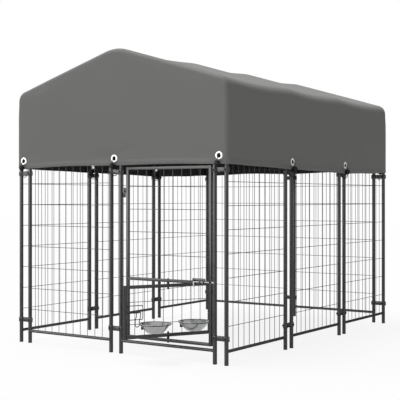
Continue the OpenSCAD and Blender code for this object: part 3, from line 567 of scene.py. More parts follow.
def coat_finish(name, base, rough, index):
    """Sprayed or moulded skin: orange peel, gloss that dulls at its edges, dust low down."""
    material, tree, shader, place = new_material(name)
    grain = use(tree, "grain", Vector=place["Object"], Fine=650.0, Slow=11.0)
    ground = use(tree, "dust", Vector=place["Object"], Height=DUST_HEIGHT, Amount=DUST_SHARE)
    tone = mixed(tree, grain["Patch"], shade(base, 0.86), shade(base, 1.16))
    dusty = mixed(tree, ground["Mask"], tone, DUST)
    skin = ramp(tree, grain["Patch"], 0, 1, rough - 0.05, rough + 0.06)
    slant = tree.nodes.new("ShaderNodeLayerWeight").outputs["Facing"]
    skin = maths(tree, "ADD", skin, ramp(tree, slant, 0.25, 0.6, 0, 1 - rough))
    skin = maths(tree, "MULTIPLY_ADD", ground["Mask"], 0.4, skin)
    tune(shader, Base_Color=dusty, Roughness=skin, IOR=index)
    bump(tree, shader, grain["Height"], strength=0.12, distance=0.0003)
    return material


def steel_finish(name, base, rough, axis, lines):
    """Plated or rolled steel with fine lines along one axis and cloudy plating."""
    material, tree, shader, place = new_material(name)
    split = node(tree, "ShaderNodeSeparateXYZ", Vector=place["Object"])
    drawn = use(tree, "lines", Across=split.outputs[axis], Lines=lines)
    grain = use(tree, "grain", Vector=place["Object"], Fine=900.0, Slow=90.0)
    tone = mixed(tree, drawn["Tone"], shade(base, 0.88), shade(base, 1.08))
    cloud = ramp(tree, grain["Patch"], 0, 1, 0, 0.35)
    cloudy = mixed(tree, cloud, tone, shade(base, 0.8))
    skin = ramp(tree, grain["Patch"], 0, 1, rough - 0.06, rough + 0.08)
    tune(shader, Base_Color=cloudy, Roughness=skin, Metallic=1.0)
    bump(tree, shader, drawn["Height"], strength=0.08, distance=0.0002)
    return material


def bowl_finish(name, centre):
    """Pressed stainless steel, spun in fine rings about the bowl's own axis."""
    material, tree, shader, place = new_material(name)
    base = colours().bowl
    shift = node(tree, "ShaderNodeMapping", Vector=place["Object"])
    tune(shift, Location=(-centre[0], -centre[1], 0))
    flat = node(tree, "ShaderNodeVectorMath", operation="MULTIPLY", Vector=shift.outputs[0])
    flat.inputs[1].default_value = (1, 1, 0)
    reach = node(tree, "ShaderNodeVectorMath", operation="LENGTH", Vector=flat.outputs[0])
    spun = use(tree, "lines", Across=reach.outputs["Value"], Lines=1800.0)
    grain = use(tree, "grain", Vector=place["Object"], Fine=500.0, Slow=30.0)
    tone = mixed(tree, spun["Tone"], shade(base, 0.92), shade(base, 1.06))
    rough = ramp(tree, grain["Patch"], 0, 1, 0.2, 0.32)
    tune(shader, Base_Color=tone, Roughness=rough, Metallic=1.0)
    bump(tree, shader, spun["Height"], strength=0.05, distance=0.0002)
    return material


def elastic_finish():
    """Braided sleeve of the elastic cord, from the cord's own UVs, with painted shade in its grooves.
    """
    material, tree, shader, place = new_material("braided elastic")
    base = colours().black
    split = node(tree, "ShaderNodeSeparateXYZ", Vector=place["UV"])
    along = maths(tree, "MULTIPLY", split.outputs["X"], BRAID_PITCH)
    round_turn = maths(tree, "MULTIPLY", split.outputs["Y"], BRAID_STRANDS * 2 * math.pi)
    left = maths(tree, "SINE", maths(tree, "ADD", along, round_turn))
    right = maths(tree, "SINE", maths(tree, "SUBTRACT", along, round_turn))
    strand = maths(tree, "MAXIMUM", left, right)
    # Painted shade and highlight: the tone follows the strands' height, dark in the grooves and light
    # on the crowns.
    tone = mixed(tree, ramp(tree, strand, -0.4, 1.0), shade(base, 0.5), shade(base, 2.4))
    tune(shader, Base_Color=tone, Roughness=0.7)
    bump(tree, shader, strand, strength=0.5, distance=0.0006)
    return material


@functools.cache
def finish_of(key):
    """Finish of a slot, or of the lining (partly painted shade) or thread, built on first use."""
    c = colours()
    makers = {
        "cover_cloth": cloth_finish,
        "lining_and_shade": lining_and_shade_finish,
        "thread": thread_finish,
        "powder_coat": lambda: coat_finish("charcoal powder coat", c.coat, 0.24, 1.5),
        "black_steel": lambda: coat_finish("black paint", shade(c.black, 1.6), 0.4, 1.25),
        "black_plastic": lambda: coat_finish("black plastic", c.black, 0.3, 1.25),
        "zinc_steel": lambda: steel_finish("zinc plated steel", c.zinc, 0.5, "X", 3200.0),
        "grommet_plating": lambda: steel_finish("bright plating", c.plating, 0.46, "Z", 2600.0),
        "polished_steel": lambda: finish_of("zinc_steel"),
        "elastic": elastic_finish,
    }
    return makers[key]()


# Cover

HEM_LIP = 0.002
HEM_FOLD, HEM_EDGE = 0.0009, 0.0005
HEM_REST = 0.012
HEM_FADE_FROM, HEM_FADE = 0.06, 0.3
HOLE_EXTRA = 1.1
SEAM_STATION = 7
# Rows of points up a wall, over an eave, up a roof plane and over the ridge
WALL_ROWS, EAVE_ROWS, PLANE_ROWS, CROWN_ROWS = 32, 12, 40, 8
RUN_STEPS, GABLE_STEPS = 123, 56
WALL_TURN = {"front": 0.0, "back": math.pi, "left": -math.pi / 2, "right": math.pi / 2}
# How far the cloth bellies out, ripples, folds round a tie and is drawn in at the eaves, in metres
BELLY, RIPPLE, WRINKLE, DRAPE = 0.0045, 0.0016, 0.001, 0.0022
TIE_FOLD, TIE_FLAT, TIE_REACH = 0.0028, 0.05, 0.16
EAVE_DIP, EAVE_LEAN, EAVE_PULL, ROOF_RIPPLE = 0.008, 0.004, 0.006, 0.002
# Lengths over which that eases: round a corner, up a wall to the eave and on over the roof
CORNER_EASE, DIP_SPREAD = 0.06, 0.13
LEAN_FROM, LEAN_KEPT, LEAN_FADE = 0.11, 0.06, 0.25
# Room between the cloth and the rails below the eaves, and what it gains above them
RAIL_ROOM, EAVE_ROOM = 0.0072, 0.0068
ROOM_FROM, ROOM_OVER = 0.025, 0.07


def ease(value):
    """Smooth step from 0 to 1."""
    value = np.clip(value, 0, 1)
    return value * value * (3 - 2 * value)


def along_knots(place, knots):
    """Eased value at each place, through (place, millimetres) knots."""
    at = np.array([k[0] for k in knots])
    level = np.array([k[1] for k in knots]) * MM
    index = np.clip(np.searchsorted(at, place) - 1, 0, len(at) - 2)
    share = ease((place - at[index]) / (at[index + 1] - at[index]))
    return level[index] + share * (level[index + 1] - level[index])


def bay_slack(y):
    """0 over a roof tube and close beside it, rising to 1 halfway between two of them."""
    slack = np.zeros_like(y)
    for a, b in zip(BOWS, BOWS[1:]):
        share = np.clip((y - a - POST_D / 2) / (b - a - POST_D), 0, 1)
        slack = np.maximum(slack, np.sin(math.pi * share) ** 1.15)
    return slack


def hem_knots(wall):
    """Height of the hem above or below its CAD level, in millimetres, at places along a wall."""
    if wall in ("left", "right"):
        a, b = JOINTS[6][1], JOINTS[7][1]
        levels = (-3, -9, -15, -20, -27, -19, -6)
        front, back = (COVER_FRONT + a) / 2, (COVER_BACK + b) / 2
        places = (COVER_FRONT, front, a, (a + b) / 2, b, back, COVER_BACK)
        return list(zip(places, levels))
    near, mid, far = (j[0] for j in JOINTS[:3])
    if wall == "front":
        levels = (-4, -5, 6, 3, 6, -2, -3)
    else:
        levels = (-6, -7, 5, -3, 6, -6, -6)
    places = (-COVER_HALF, near, (near + mid) / 2, mid, (mid + far) / 2, far, COVER_HALF)
    return list(zip(places, levels))


class CoverForm:
    """The cover's surface: a rounded section swept along the run, with a flat gable at each end."""

    def __init__(self):
        s = sizes()
        self.slope = math.atan(s.roof_rise / COVER_HALF)
        self.ridge_z = s.eave_z + s.roof_rise - s.crown_r * (1 / math.cos(self.slope) - 1)
        self.wall_top = s.eave_z - s.eave_r * math.tan((math.pi / 2 - self.slope) / 2)
        self.section, self.facing = self.half_section()
        self.run = run_along(self.section)

    def half_section(self):
        """Points (x, z) of the left half, from hem to ridge, and the way that each faces."""
        s = sizes()
        band = HEM_Z + s.hem_band
        hem = [HEM_Z, HEM_Z + HEM_LIP, band - HEM_LIP, band]
        above = np.linspace(band + HEM_REST, self.wall_top, WALL_ROWS - len(hem))
        heights = np.concatenate([hem, above])
        wall = np.stack([np.full_like(heights, -COVER_HALF), heights], -1)
        over = np.linspace(math.pi, math.pi / 2 + self.slope, EAVE_ROWS + 1)[1:]
        over = np.stack([np.cos(over), np.sin(over)], -1)
        eave = np.array((s.eave_r - COVER_HALF, self.wall_top)) + s.eave_r * over
        top = np.linspace(math.pi / 2 + self.slope, math.pi / 2, CROWN_ROWS)
        top = np.stack([np.cos(top), np.sin(top)], -1)
        top[-1] = (0, 1)
        crown = np.array((0, self.ridge_z - s.crown_r)) + s.crown_r * top
        plane = np.linspace(eave[-1], crown[0], PLANE_ROWS + 2)[1:-1]
        outwards = np.tile((-1.0, 0.0), (len(wall), 1))
        upwards = np.tile(over[-1], (len(plane), 1))
        points = np.vstack([wall, eave, plane, crown])
        return points, np.vstack([outwards, over, upwards, top])

    def stations(self):
        """Places along the run, and how far the section is drawn in there to round the gables."""
        r = sizes().gable_r
        turn = np.linspace(0, math.pi / 2, SEAM_STATION + 1)
        length = np.linspace(COVER_FRONT + r, COVER_BACK - r, RUN_STEPS + 1)[1:-1]
        over, drawn = r * (1 - np.cos(turn)), r * (1 - np.sin(turn))
        along = np.concatenate([COVER_FRONT + over, length, COVER_BACK - over[::-1]])
        return along, np.concatenate([drawn, np.zeros_like(length), drawn[::-1]])

    def hem(self, wall, along, z):
        """Rise of the cloth where the hem lifts or hangs, fading out up the wall."""
        fade = 1 - ease((z - HEM_Z - HEM_FADE_FROM) / HEM_FADE)
        return along_knots(along, hem_knots(wall)) * fade

    def swell(self, wall, along, z, top):
        """How far the cloth stands out from the flat wall."""
        share = np.clip((top - z) / (top - HEM_Z), 0, 1)
        belly = np.sin(math.pi * share)
        out = BELLY * belly**1.2 + RIPPLE * np.sin(7.3 * along + 1.1) * belly
        out = out + WRINKLE * np.sin(17.0 * along) * share
        if wall in ("left", "right"):
            out = out - EAVE_PULL * bay_slack(along) * (1 - share) ** 2 * ease(share * 8)
            drape = np.sin(11.0 * along + 0.8 * np.sin(5.0 * along))
            drape = drape * np.sin(math.pi * share**0.7)
            out = out + DRAPE * drape * bay_slack(along)
        for joint, shift, drop in ties():
            if joint[2] != WALL_TURN[wall]:
                continue
            tie = joint[0] + shift if wall in ("front", "back") else joint[1] + abs(shift)
            dx, dz = along - tie, z - (sizes().grommet_z - drop)
            reach = np.hypot(dx, dz)
            hold = 1 - np.exp(-((reach / TIE_FLAT) ** 4))
            fold = np.cos(5 * np.arctan2(dz, dx) + 0.7) * np.exp(-((reach / TIE_REACH) ** 2))
            out = out * hold + TIE_FOLD * fold * hold
        start, end = COVER_FRONT, COVER_BACK
        if wall in ("front", "back"):
            start, end = -COVER_HALF, COVER_HALF
        return out * ease(np.minimum(along - start, end - along) / CORNER_EASE)

    def fold_over(self, rows):
        """How far the folded hem stands out, for row numbers counted from the hem."""
        edge = np.where(rows == 0, HEM_EDGE, 0.0)
        return np.where((rows == 1) | (rows == 2), HEM_FOLD, edge)

    def swept(self):
        """Grid of points from the left hem over the ridge to the right hem, by stations."""
        s = sizes()
        along, drawn = self.stations()
        count = len(self.section)
        rows = np.arange(count)[:, None]
        y = np.tile(along, (count, 1))
        x = self.section[:, :1] - self.facing[:, :1] * drawn
        z = self.section[:, 1:] - self.facing[:, 1:] * drawn
        run = self.run[:, None]
        wall = rows < WALL_ROWS
        eave_run = self.run[WALL_ROWS + EAVE_ROWS // 2 - 1]
        slack = bay_slack(y)
        across = np.clip(1 - (x / COVER_HALF) ** 2, 0, 1)
        ripple = np.sin(9.1 * x + 3.3 * y) * np.sin(4.7 * y + 1.3) * np.sin(6.0 * x - 2.1 * y)
        near_eave = np.exp(-(((run - eave_run) / DIP_SPREAD) ** 2))
        lean = ease((run - self.run[WALL_ROWS - 1] + LEAN_FROM) / LEAN_FROM)
        lean = lean * (1 - ease((run - eave_run - LEAN_KEPT) / LEAN_FADE))
        room = RAIL_ROOM + EAVE_ROOM * ease((z - self.wall_top + ROOM_FROM) / ROOM_OVER)
        halves = []
        for wall_name, ripple_turn in (("left", -1), ("right", 1)):
            stand = self.swell(wall_name, y, z, self.wall_top) + self.fold_over(rows)
            stand = np.where(wall, stand, 0) * np.where(drawn > 0, 1 - drawn / s.gable_r, 1)
            inward = EAVE_DIP * slack * near_eave + EAVE_LEAN * lean - stand
            px = x + np.where(inward > 0, room * np.tanh(inward / room), inward)
            pz = z - s.sag * slack * across + ROOF_RIPPLE * ripple_turn * ripple * slack * across
            pz = pz - EAVE_DIP * slack * near_eave + np.where(wall, self.hem(wall_name, y, z), 0)
            halves.append(np.stack([px, y, pz], -1))
        right = halves[1][-2::-1] * (-1, 1, 1)
        left = halves[0]
        left[-1, :, 0] = 0
        return np.concatenate([left, right])

    def gable(self, grid, station, wall):
        """Rows of points inside one gable, between the two halves of its edge."""
        count = len(self.section)
        share = np.linspace(0, 1, GABLE_STEPS + 1)[1:-1]
        out = -1 if wall == "front" else 1
        made = []
        for k in range(count - 1):
            a, b = grid[k, station], grid[2 * count - 2 - k, station]
            x = a[0] + (b[0] - a[0]) * share
            level = self.section[k, 1] - self.facing[k, 1] * sizes().gable_r
            z = np.full_like(x, a[2] if k >= WALL_ROWS else level)
            edge = ease((1 - np.abs(2 * share - 1)) * 4)
            stand = self.swell(wall, x, z, RIDGE_Z) * edge
            stand = stand + self.fold_over(np.array(k)) * ease(edge * 3)
            made.append(np.stack([x, a[1] + out * stand, z + self.hem(wall, x, z)], -1))
        return made


def cover_sheet(form):
    """Points, faces and UVs of the cover as one sheet, and the rows and seams that are stitched."""
    grid = form.swept()
    rows, stations = grid.shape[:2]
    half = len(form.section)
    points = list(grid.reshape(-1, 3))
    index = np.arange(rows * stations).reshape(rows, stations)
    length = np.concatenate([form.run, 2 * form.run[-1] - form.run[-2::-1]])
    faces, uvs = [], []
    for k in range(rows - 1):
        for j in range(stations - 1):
            corners = ((k, j), (k + 1, j), (k + 1, j + 1), (k, j + 1))
            faces.append([index[c] for c in corners])
            uvs += [(points[index[c]][1], length[c[0]]) for c in corners]
    gable_rows = {}
    for wall, station in (("front", 0), ("back", stations - 1)):
        lines = []
        for k, inside in enumerate(form.gable(grid, station, wall)):
            first = len(points)
            points += list(inside)
            ends = index[k, station], index[rows - 1 - k, station]
            lines.append([ends[0], *range(first, first + len(inside)), ends[1]])
        gable_rows[wall] = lines
        for low, high in zip(lines, lines[1:]):
            for m in range(GABLE_STEPS):
                faces.append([low[m], low[m + 1], high[m + 1], high[m]])
        top = index[half - 1, station]
        for m in range(GABLE_STEPS):
            faces.append([lines[-1][m], lines[-1][m + 1], top])
        if wall == "back":
            made = GABLE_STEPS * len(lines)
            faces[-made:] = [face[::-1] for face in faces[-made:]]
    for face in faces[(rows - 1) * (stations - 1):]:
        uvs += [(points[v][0], points[v][2]) for v in face]
    loops = []
    for row in (1, 3):
        loop = gable_rows["front"][row] + list(index[rows - 1 - row, 1:-1])
        loop += gable_rows["back"][row][::-1] + list(index[row, -2:0:-1])
        loops.append(loop)
    seams = [list(index[:, SEAM_STATION]), list(index[:, stations - 1 - SEAM_STATION])]
    return points, faces, uvs, loops, seams


# A stitch: its points as shares of its length, their height over the cloth, and its radius
STITCH_SHARE = (0.14, 0.5, 0.86)
STITCH_RISE = (0.0004, 0.0011, 0.0004)
STITCH_R = 0.0006
# Height of the hem's two rows of stitches over the rows of points that they follow
STITCH_ROWS = (0.006, -0.004)


def stitch_line(path, away, length):
    """Lock stitches along a path, each a small five-sided bead that lies on the cloth."""
    run = run_along(path)
    parts = []
    for c in range(int(run[-1] / length)):
        spots = [(c + f) * length for f in STITCH_SHARE]
        ends = [np.array([np.interp(t, run, path[:, a]) for a in range(3)]) for t in spots]
        lift = np.array([np.interp(spots[1], run, away[:, a]) for a in range(3)])
        lift /= np.linalg.norm(lift)
        bead = [end + lift * rise for end, rise in zip(ends, STITCH_RISE)]
        parts.append(tube(bead, STITCH_R, 5))
    return parts


def stitching(points, loops, seams, facing):
    """Two rows of stitches round the hem and one along each gable's seam."""
    points = np.asarray(points)
    parts = []
    for loop, rise in zip(loops, STITCH_ROWS):
        path = points[loop + loop[:1]] + (0, 0, rise)
        ahead = np.gradient(path, axis=0)
        away = np.stack([ahead[:, 1], -ahead[:, 0], np.zeros(len(path))], -1)
        parts += stitch_line(path, away, sizes().stitch)
    for seam in seams:
        away = np.stack([facing[:, 0], np.zeros(len(facing)), facing[:, 1]], -1)
        parts += stitch_line(points[seam], away, sizes().stitch)
    return gather(parts)


class KENNEL_OT_cover(bpy.types.Operator):
    """Makes the cover as one slack sheet with a folded hem, stitching and punched holes."""

    bl_idname = "kennel.cover"
    bl_label = "Cover"

    def execute(self, context):
        s = sizes()
        form = CoverForm()
        points, faces, uvs, loops, seams = cover_sheet(form)
        facing = np.vstack([form.facing, form.facing[-2::-1] * (-1, 1)])
        cover = mesh_object("cover", points, faces, uvs)
        cover.data.materials.append(finish_of("cover_cloth"))
        # Inner faces: the dark lining, which partly paints the shade inside the cover.
        cover.data.materials.append(finish_of("lining_and_shade"))
        pick(cover)
        modifier(cover, "cloth", "SOLIDIFY", thickness=s.cloth_t, offset=-1, material_offset=1)
        bpy.ops.object.modifier_apply(modifier="cloth")
        hole = s.grommet_hole / 2 / MM + HOLE_EXTRA
        punch = turned("punch", [(hole, -8), (hole, 8)], 32, roof=True)
        punch = spread(punch, "punch", grommet_places())
        modifier(cover, "holes", "BOOLEAN", object=punch, operation="DIFFERENCE", solver="EXACT")
        pick(cover)
        bpy.ops.object.modifier_apply(modifier="holes")
        bpy.data.objects.remove(punch)
        smooth(cover, 50)
        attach(cover, "run")
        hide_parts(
            "cover_roof_left", "cover_roof_right", "cover_front_gable", "cover_back_gable",
            "cover_left_skirt", "cover_right_skirt",
        )
        thread = mesh_object("cover_stitching", *stitching(points, loops, seams, facing)[:2])
        smooth(thread, 60)
        finish_piece(thread, "run", "cover_cloth", material=finish_of("thread"))
        return {"FINISHED"}


# Ties

# Brings a piece made about Z to face the outer side of a joint's own frame, -Y
OUTWARDS = Matrix.Rotation(math.pi / 2, 4, "X")


def ties():
    """Every tie: its joint, its shift along the joint and its drop below the corner ties."""
    low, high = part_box("tie_balls")
    drop = high.z - low.z - sizes().ball_d
    made = []
    for joint in JOINTS:
        if abs(math.cos(joint[2])) < 0.5:
            made.append((joint, math.copysign(sizes().side_tie_back, joint[2]), drop))
        else:
            made.append((joint, 0.0, 0.0))
    return made


def tie_frame(tie):
    """Turns a tie's own frame, whose outer side is -Y, to its place along the run."""
    (x, y, turn), shift, drop = tie
    place = Matrix.Translation((x, y, -drop)) @ Matrix.Rotation(turn, 4, "Z")
    return place @ Matrix.Translation((shift, 0, 0))


def grommet_places():
    """Places of the grommets in the hem. A piece made about Z gets its Z axis outwards there."""
    out = Matrix.Translation((0, -COVER_OUT, sizes().grommet_z)) @ OUTWARDS
    return [tie_frame(tie) @ out for tie in ties()]


class KENNEL_OT_grommets(bpy.types.Operator):
    """Makes the rolled grommets in the hem of the cover."""

    bl_idname = "kennel.grommets"
    bl_label = "Grommets"

    def execute(self, context):
        s = sizes()
        hole, edge = s.grommet_hole / 2 / MM, s.grommet_d / 2 / MM
        rings = [
            (hole, -2.6), (hole, 0.5), (hole + 0.5, 1.3), (hole + 1.8, 1.75),
            (hole + 3.4, 1.85), (edge - 3.6, 1.6), (edge - 1.4, 1.05), (edge - 0.3, 0.5),
            (edge, 0.1), (edge - 0.4, 0.02), (hole + 0.9, 0.02), (hole + 0.9, -1.9),
            (edge - 1, -1.9), (edge - 0.6, -2.2), (edge - 1.2, -2.6), (hole, -2.6),
        ]
        made = turned_set("grommet_rings", rings, 48, grommet_places(), floor=False)
        finish_piece(made, "run", "grommet_plating", "grommets")
        return {"FINISHED"}


class KENNEL_OT_ties(bpy.types.Operator):
    """Makes the moulded balls and the braided elastic cords that hold the cover down."""

    bl_idname = "kennel.ties"
    bl_label = "Ties"

    def execute(self, context):
        s = sizes()
        bore, r = s.cord_d / 2 / MM + 0.15, s.ball_d / 2 / MM
        start = math.asin((bore + 0.9) / r)
        turns = np.linspace(start, math.pi - start, 19)
        mouth = r * math.cos(start)
        rings = [(bore, mouth - 1.2), (bore + 0.25, mouth - 0.3)]
        rings += [(r * math.sin(t), r * math.cos(t)) for t in turns]
        rings += [(bore + 0.25, 0.3 - mouth), (bore, 1.2 - mouth), (bore, mouth - 1.2)]
        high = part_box("tie_balls")[1]
        front = SIDE + s.ball_d / 2 - high.x
        ball_z = high.z - s.ball_d / 2
        places = [tie_frame(t) @ Matrix.Translation((0, front, ball_z)) for t in ties()]
        balls = turned_set("tie_ball_set", rings, 32, places, floor=False)
        finish_piece(balls, "run", "black_plastic", "tie_balls")
        low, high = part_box("tie_cords")
        inner = 0.012
        bend = (inner - front) / 2
        mid = (inner + front) / 2
        top, bottom = high.z - s.cord_d / 2 - bend, low.z + s.cord_d / 2 + bend
        half = np.linspace(0, math.pi, 17)
        loops = []
        for tie in ties():
            end = bottom + tie[2]
            line = [(0, mid + bend * math.cos(a), top + bend * math.sin(a)) for a in half]
            line += [(0, front, z) for z in np.linspace(top, end, 9)[1:-1]]
            line += [(0, mid - bend * math.cos(a), end - bend * math.sin(a)) for a in half]
            line += [(0, inner, z) for z in np.linspace(end, top, 9)[1:-1]]
            place = np.array(tie_frame(tie))
            path = np.array(line) @ place[:3, :3].T + place[:3, 3]
            loops.append(tube(path, s.cord_d / 2, 12, closed=True))
        cords = mesh_object("tie_cord_set", *gather(loops))
        smooth(cords, 60)
        finish_piece(cords, "run", "elastic", "tie_cords")
        return {"FINISHED"}


# Fittings


class KENNEL_OT_feet(bpy.types.Operator):
    """Makes the rounded plastic feet under the posts."""

    bl_idname = "kennel.feet"
    bl_label = "Feet"

    def execute(self, context):
        rings = [
            (10.6, 0), (11.9, 0.35), (12.6, 1.1), (12.75, 2.2), (12.7, 3.4), (12.4, 4.0),
            (10.9, 4.05), (10.8, 24), (9.8, 25),
        ]
        places = [Matrix.Translation((x, y, 0)) for x, y in POSTS]
        feet = turned_set("foot_set", rings, 40, places, roof=True)
        finish_piece(feet, "run", "black_plastic", "foot_caps")
        return {"FINISHED"}


# The strap's thickness and the gap on each side of it, in millimetres
STRAP_T, STRAP_GAP = 3, 0.15


class KENNEL_OT_clamp_bolts(bpy.types.Operator):
    """Makes the domed clamp bolts with their threaded ends."""

    bl_idname = "kennel.clamp_bolts"
    bl_label = "Clamp bolts"

    def execute(self, context):
        seat = POST_D / 2 / MM + STRAP_GAP + STRAP_T + STRAP_GAP
        dome = [(6.0, 0), (6.0, 0.8), (5.75, 1.9), (5.0, 3.1), (3.7, 4.0), (2.0, 4.45)]
        dome = [(radius, seat + rise) for radius, rise in dome]
        shank = [(2.5, -seat - 8), (3.0, -seat - 7.5)]
        for turn in range(5):
            z = -seat - 7.4 + turn * 1.0
            shank += [(3.0, z + 0.15), (2.72, z + 0.5), (3.0, z + 0.85)]
        places = []
        for x, y, turn in JOINTS:
            for z in (CLAMP_LOW_Z, CLAMP_HIGH_Z):
                place = Matrix.Translation((x, y, z)) @ Matrix.Rotation(turn, 4, "Z")
                for side in (-1, 1):
                    post = Matrix.Translation((side * GAP / 2, 0, 0))
                    places.append(place @ post @ OUTWARDS)
        rings = shank + [(3.0, seat)] + dome
        bolts = turned_set("clamp_bolt_set", rings, 20, places, roof=True)
        finish_piece(bolts, "run", "black_steel", "clamp_bolts")
        return {"FINISHED"}


class KENNEL_OT_bowls(bpy.types.Operator):
    """Makes the pressed bowls with their rolled rims."""

    bl_idname = "kennel.bowls"
    bl_label = "Bowls"

    def execute(self, context):
        low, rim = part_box("bowl_left")[0].z / MM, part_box("bowl_left")[1].z / MM - 1
        r = sizes().bowl_d / 2 / MM
        lip, base, bulge = r - 8.0, 44.2, 4.5
        share = np.linspace(0, 1, 10)
        wall_r = base + (lip - 1.6 - base) * share + bulge * 4 * share * (1 - share) ** 1.3
        wall_z = low + 2.2 + (rim - 5.4 - low) * share
        outer = list(zip(wall_r, wall_z))
        inner = [(a - 0.75, b + 0.45) for a, b in outer[::-1]]
        rings = [(20, low + 0.6), (37, low + 0.6), (39.5, low), (42, low + 0.3), *outer]
        rings += [(lip + 0.3, rim - 0.9), (lip + 1.6, rim + 0.05), (r - 2.1, rim + 0.1)]
        rings += [(r - 1.8, rim - 1.2), (r - 1.2, rim - 1.6), (r - 0.4, rim - 1.1), (r, rim - 0.1)]
        rings += [(r - 0.3, rim + 0.75), (r - 1.3, rim + 1.05), (lip + 2.6, rim + 1.0)]
        rings += [(lip + 0.4, rim + 0.5), *inner, (41, low + 1.5), (37, low + 1.7), (20, low + 1.7)]
        for side in ("left", "right"):
            node_name = "bowl_" + side
            centre = (middle(node_name, 0), middle(node_name, 1))
            bowl = turned("pressed_bowl_" + side, rings, 96, roof=True)
            bowl.data.transform(Matrix.Translation((*centre, 0)))
            smooth(bowl, 50)
            steel = bowl_finish("bowl steel " + side, centre)
            finish_piece(bowl, side + "_bowl", "polished_steel", node_name, material=steel)
        return {"FINISHED"}


class KENNEL_OT_lock_bolt(bpy.types.Operator):
    """Makes the feeder's lock bolt with its handle, one wire bent twice down each leg."""

    bl_idname = "kennel.lock_bolt"
    bl_label = "Lock bolt"

    def execute(self, context):
        s = sizes()
        place = Matrix.Translation((PIVOT[0], PIVOT[1], 0)) @ Matrix.Rotation(TURN, 4, "Z")
        inverse = place.inverted()
        corners = [inverse @ Vector(v.co) for v in frame["nodes"]["lock_bolt"].data.vertices]
        low, high = min(c.x for c in corners), max(c.x for c in corners)
        top_z = max(c.z for c in corners)
        rod_r = 0.003
        across = min(c.y for c in corners) + rod_r
        z = top_z - rod_r
        foot = min(c.z for c in corners) + s.handle_d / 2
        hang = [c.x for c in corners if c.z < z - 0.03]
        near, far = max(hang) - s.handle_d / 2, min(hang) + s.handle_d / 2
        length = (high - low) / MM
        end = [(2.2, 0), (2.8, 0.5), (3.0, 1.4)]
        rings = end + [(radius, length - rise) for radius, rise in end[::-1]]
        rod = turned("lock_bolt_rod", rings, 20, roof=True)
        lying = Matrix.Translation((low, across, z)) @ Matrix.Rotation(math.pi / 2, 4, "Y")
        rod.data.transform(place @ lying)
        bend = [0, 0.12, 0.24, 0.32, 0.40, 0.48, 0.56, 0.68, 0.82]
        jog = 0.008
        leg = [(-jog * float(ease((b - 0.24) / 0.32)), z - b * (z - foot)) for b in bend]
        gap = (near - far) / 2
        turn = np.linspace(0, math.pi, 13)[1:-1]
        mid = (near + far) / 2 - jog
        depth = leg[-1][1] - foot
        path = [(near + a, across, b) for a, b in leg]
        path += [(mid + gap * math.cos(t), across, leg[-1][1] - depth * math.sin(t)) for t in turn]
        path += [(far + a, across, b) for a, b in leg[::-1]]
        path = np.array([place @ Vector(p) for p in path])
        wire = mesh_object("lock_handle", *tube(path, s.handle_d / 2, 12)[:2])
        start_clean()
        rod.select_set(True)
        wire.select_set(True)
        context.view_layer.objects.active = rod
        bpy.ops.object.join()
        rod.name = "bent_lock_bolt"
        smooth(rod, 40)
        finish_piece(rod, "feeder_lock", "black_steel", "lock_bolt")
        return {"FINISHED"}


LOW_RAIL_Z = 0.08
TOP_RAIL_DROP = 0.018
TRANSOM_GAP = 0.012
BEAD_R, BEAD_LIFT, BEAD_WAVE = 0.0017, 0.0004, 0.05
# Places in the list of posts: how many are in the front and back rows, and which hold the door
END_POSTS = 8
DOOR_POSTS = (2, 3)


def weld_bead(post, ahead, z, rail_r):
    """A weld bead round a rail where it meets a post. The rail leaves the post along ahead."""
    turn = np.linspace(0, 2 * math.pi, 25)[:-1]
    side = (-ahead[1], ahead[0])
    r = POST_D / 2
    ring = []
    for t in turn:
        a, b = rail_r * math.cos(t), rail_r * math.sin(t)
        out = math.sqrt(r * r - a * a) + BEAD_LIFT
        grow = 1 + BEAD_WAVE * math.sin(6 * t)
        ring.append((
            post[0] + ahead[0] * out + side[0] * a * grow,
            post[1] + ahead[1] * out + side[1] * a * grow,
            z + b * grow,
        ))
    return tube(ring, BEAD_R, 6, closed=True)


class KENNEL_OT_welds(bpy.types.Operator):
    """Makes the weld beads where the rails meet the posts."""

    bl_idname = "kennel.welds"
    bl_label = "Welds"

    def execute(self, context):
        r = sizes().rail_d / 2
        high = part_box("front_left_panel")[1].z - TOP_RAIL_DROP
        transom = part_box("door_frame")[1].z + TRANSOM_GAP + r
        beads = []
        for k, (x, y) in enumerate(POSTS):
            along = (1, 0) if k < END_POSTS else (0, 1)
            sign = 1 if k % 2 == 0 else -1
            levels = [LOW_RAIL_Z, high] + ([transom] if k in DOOR_POSTS else [])
            for z in levels:
                beads.append(weld_bead((x, y), (along[0] * sign, along[1] * sign), z, r))
        welds = mesh_object("rail_welds", *gather(beads)[:2])
        smooth(welds, 60)
        finish_piece(welds, "run", "powder_coat")
        return {"FINISHED"}


# Finishes of the CAD nodes

# Edge radius, in millimetres, of the nodes that get one
ROUNDED = {
    "door_frame": 1.6, "feeder_frame": 1.5, "post_caps": 0.9,
    "clamp_outer_straps": 0.6, "clamp_inner_straps": 0.6, "clamp_nuts": 0.5,
    "latch_plate": 0.6, "latch_bolt": 0.8, "latch_screws": 0.7, "latch_keeper": 0.8,
    "lock_keeper": 0.8, "bowl_bracket_left": 0.8, "bowl_bracket_right": 0.8,
    "pivot_bolts": 0.6, "pivot_nuts": 0.6, "pivot_spacers": 0.5,
    "hinge_pins": 0.7, "hinge_post_knuckles": 0.7, "hinge_door_knuckles": 0.7,
}


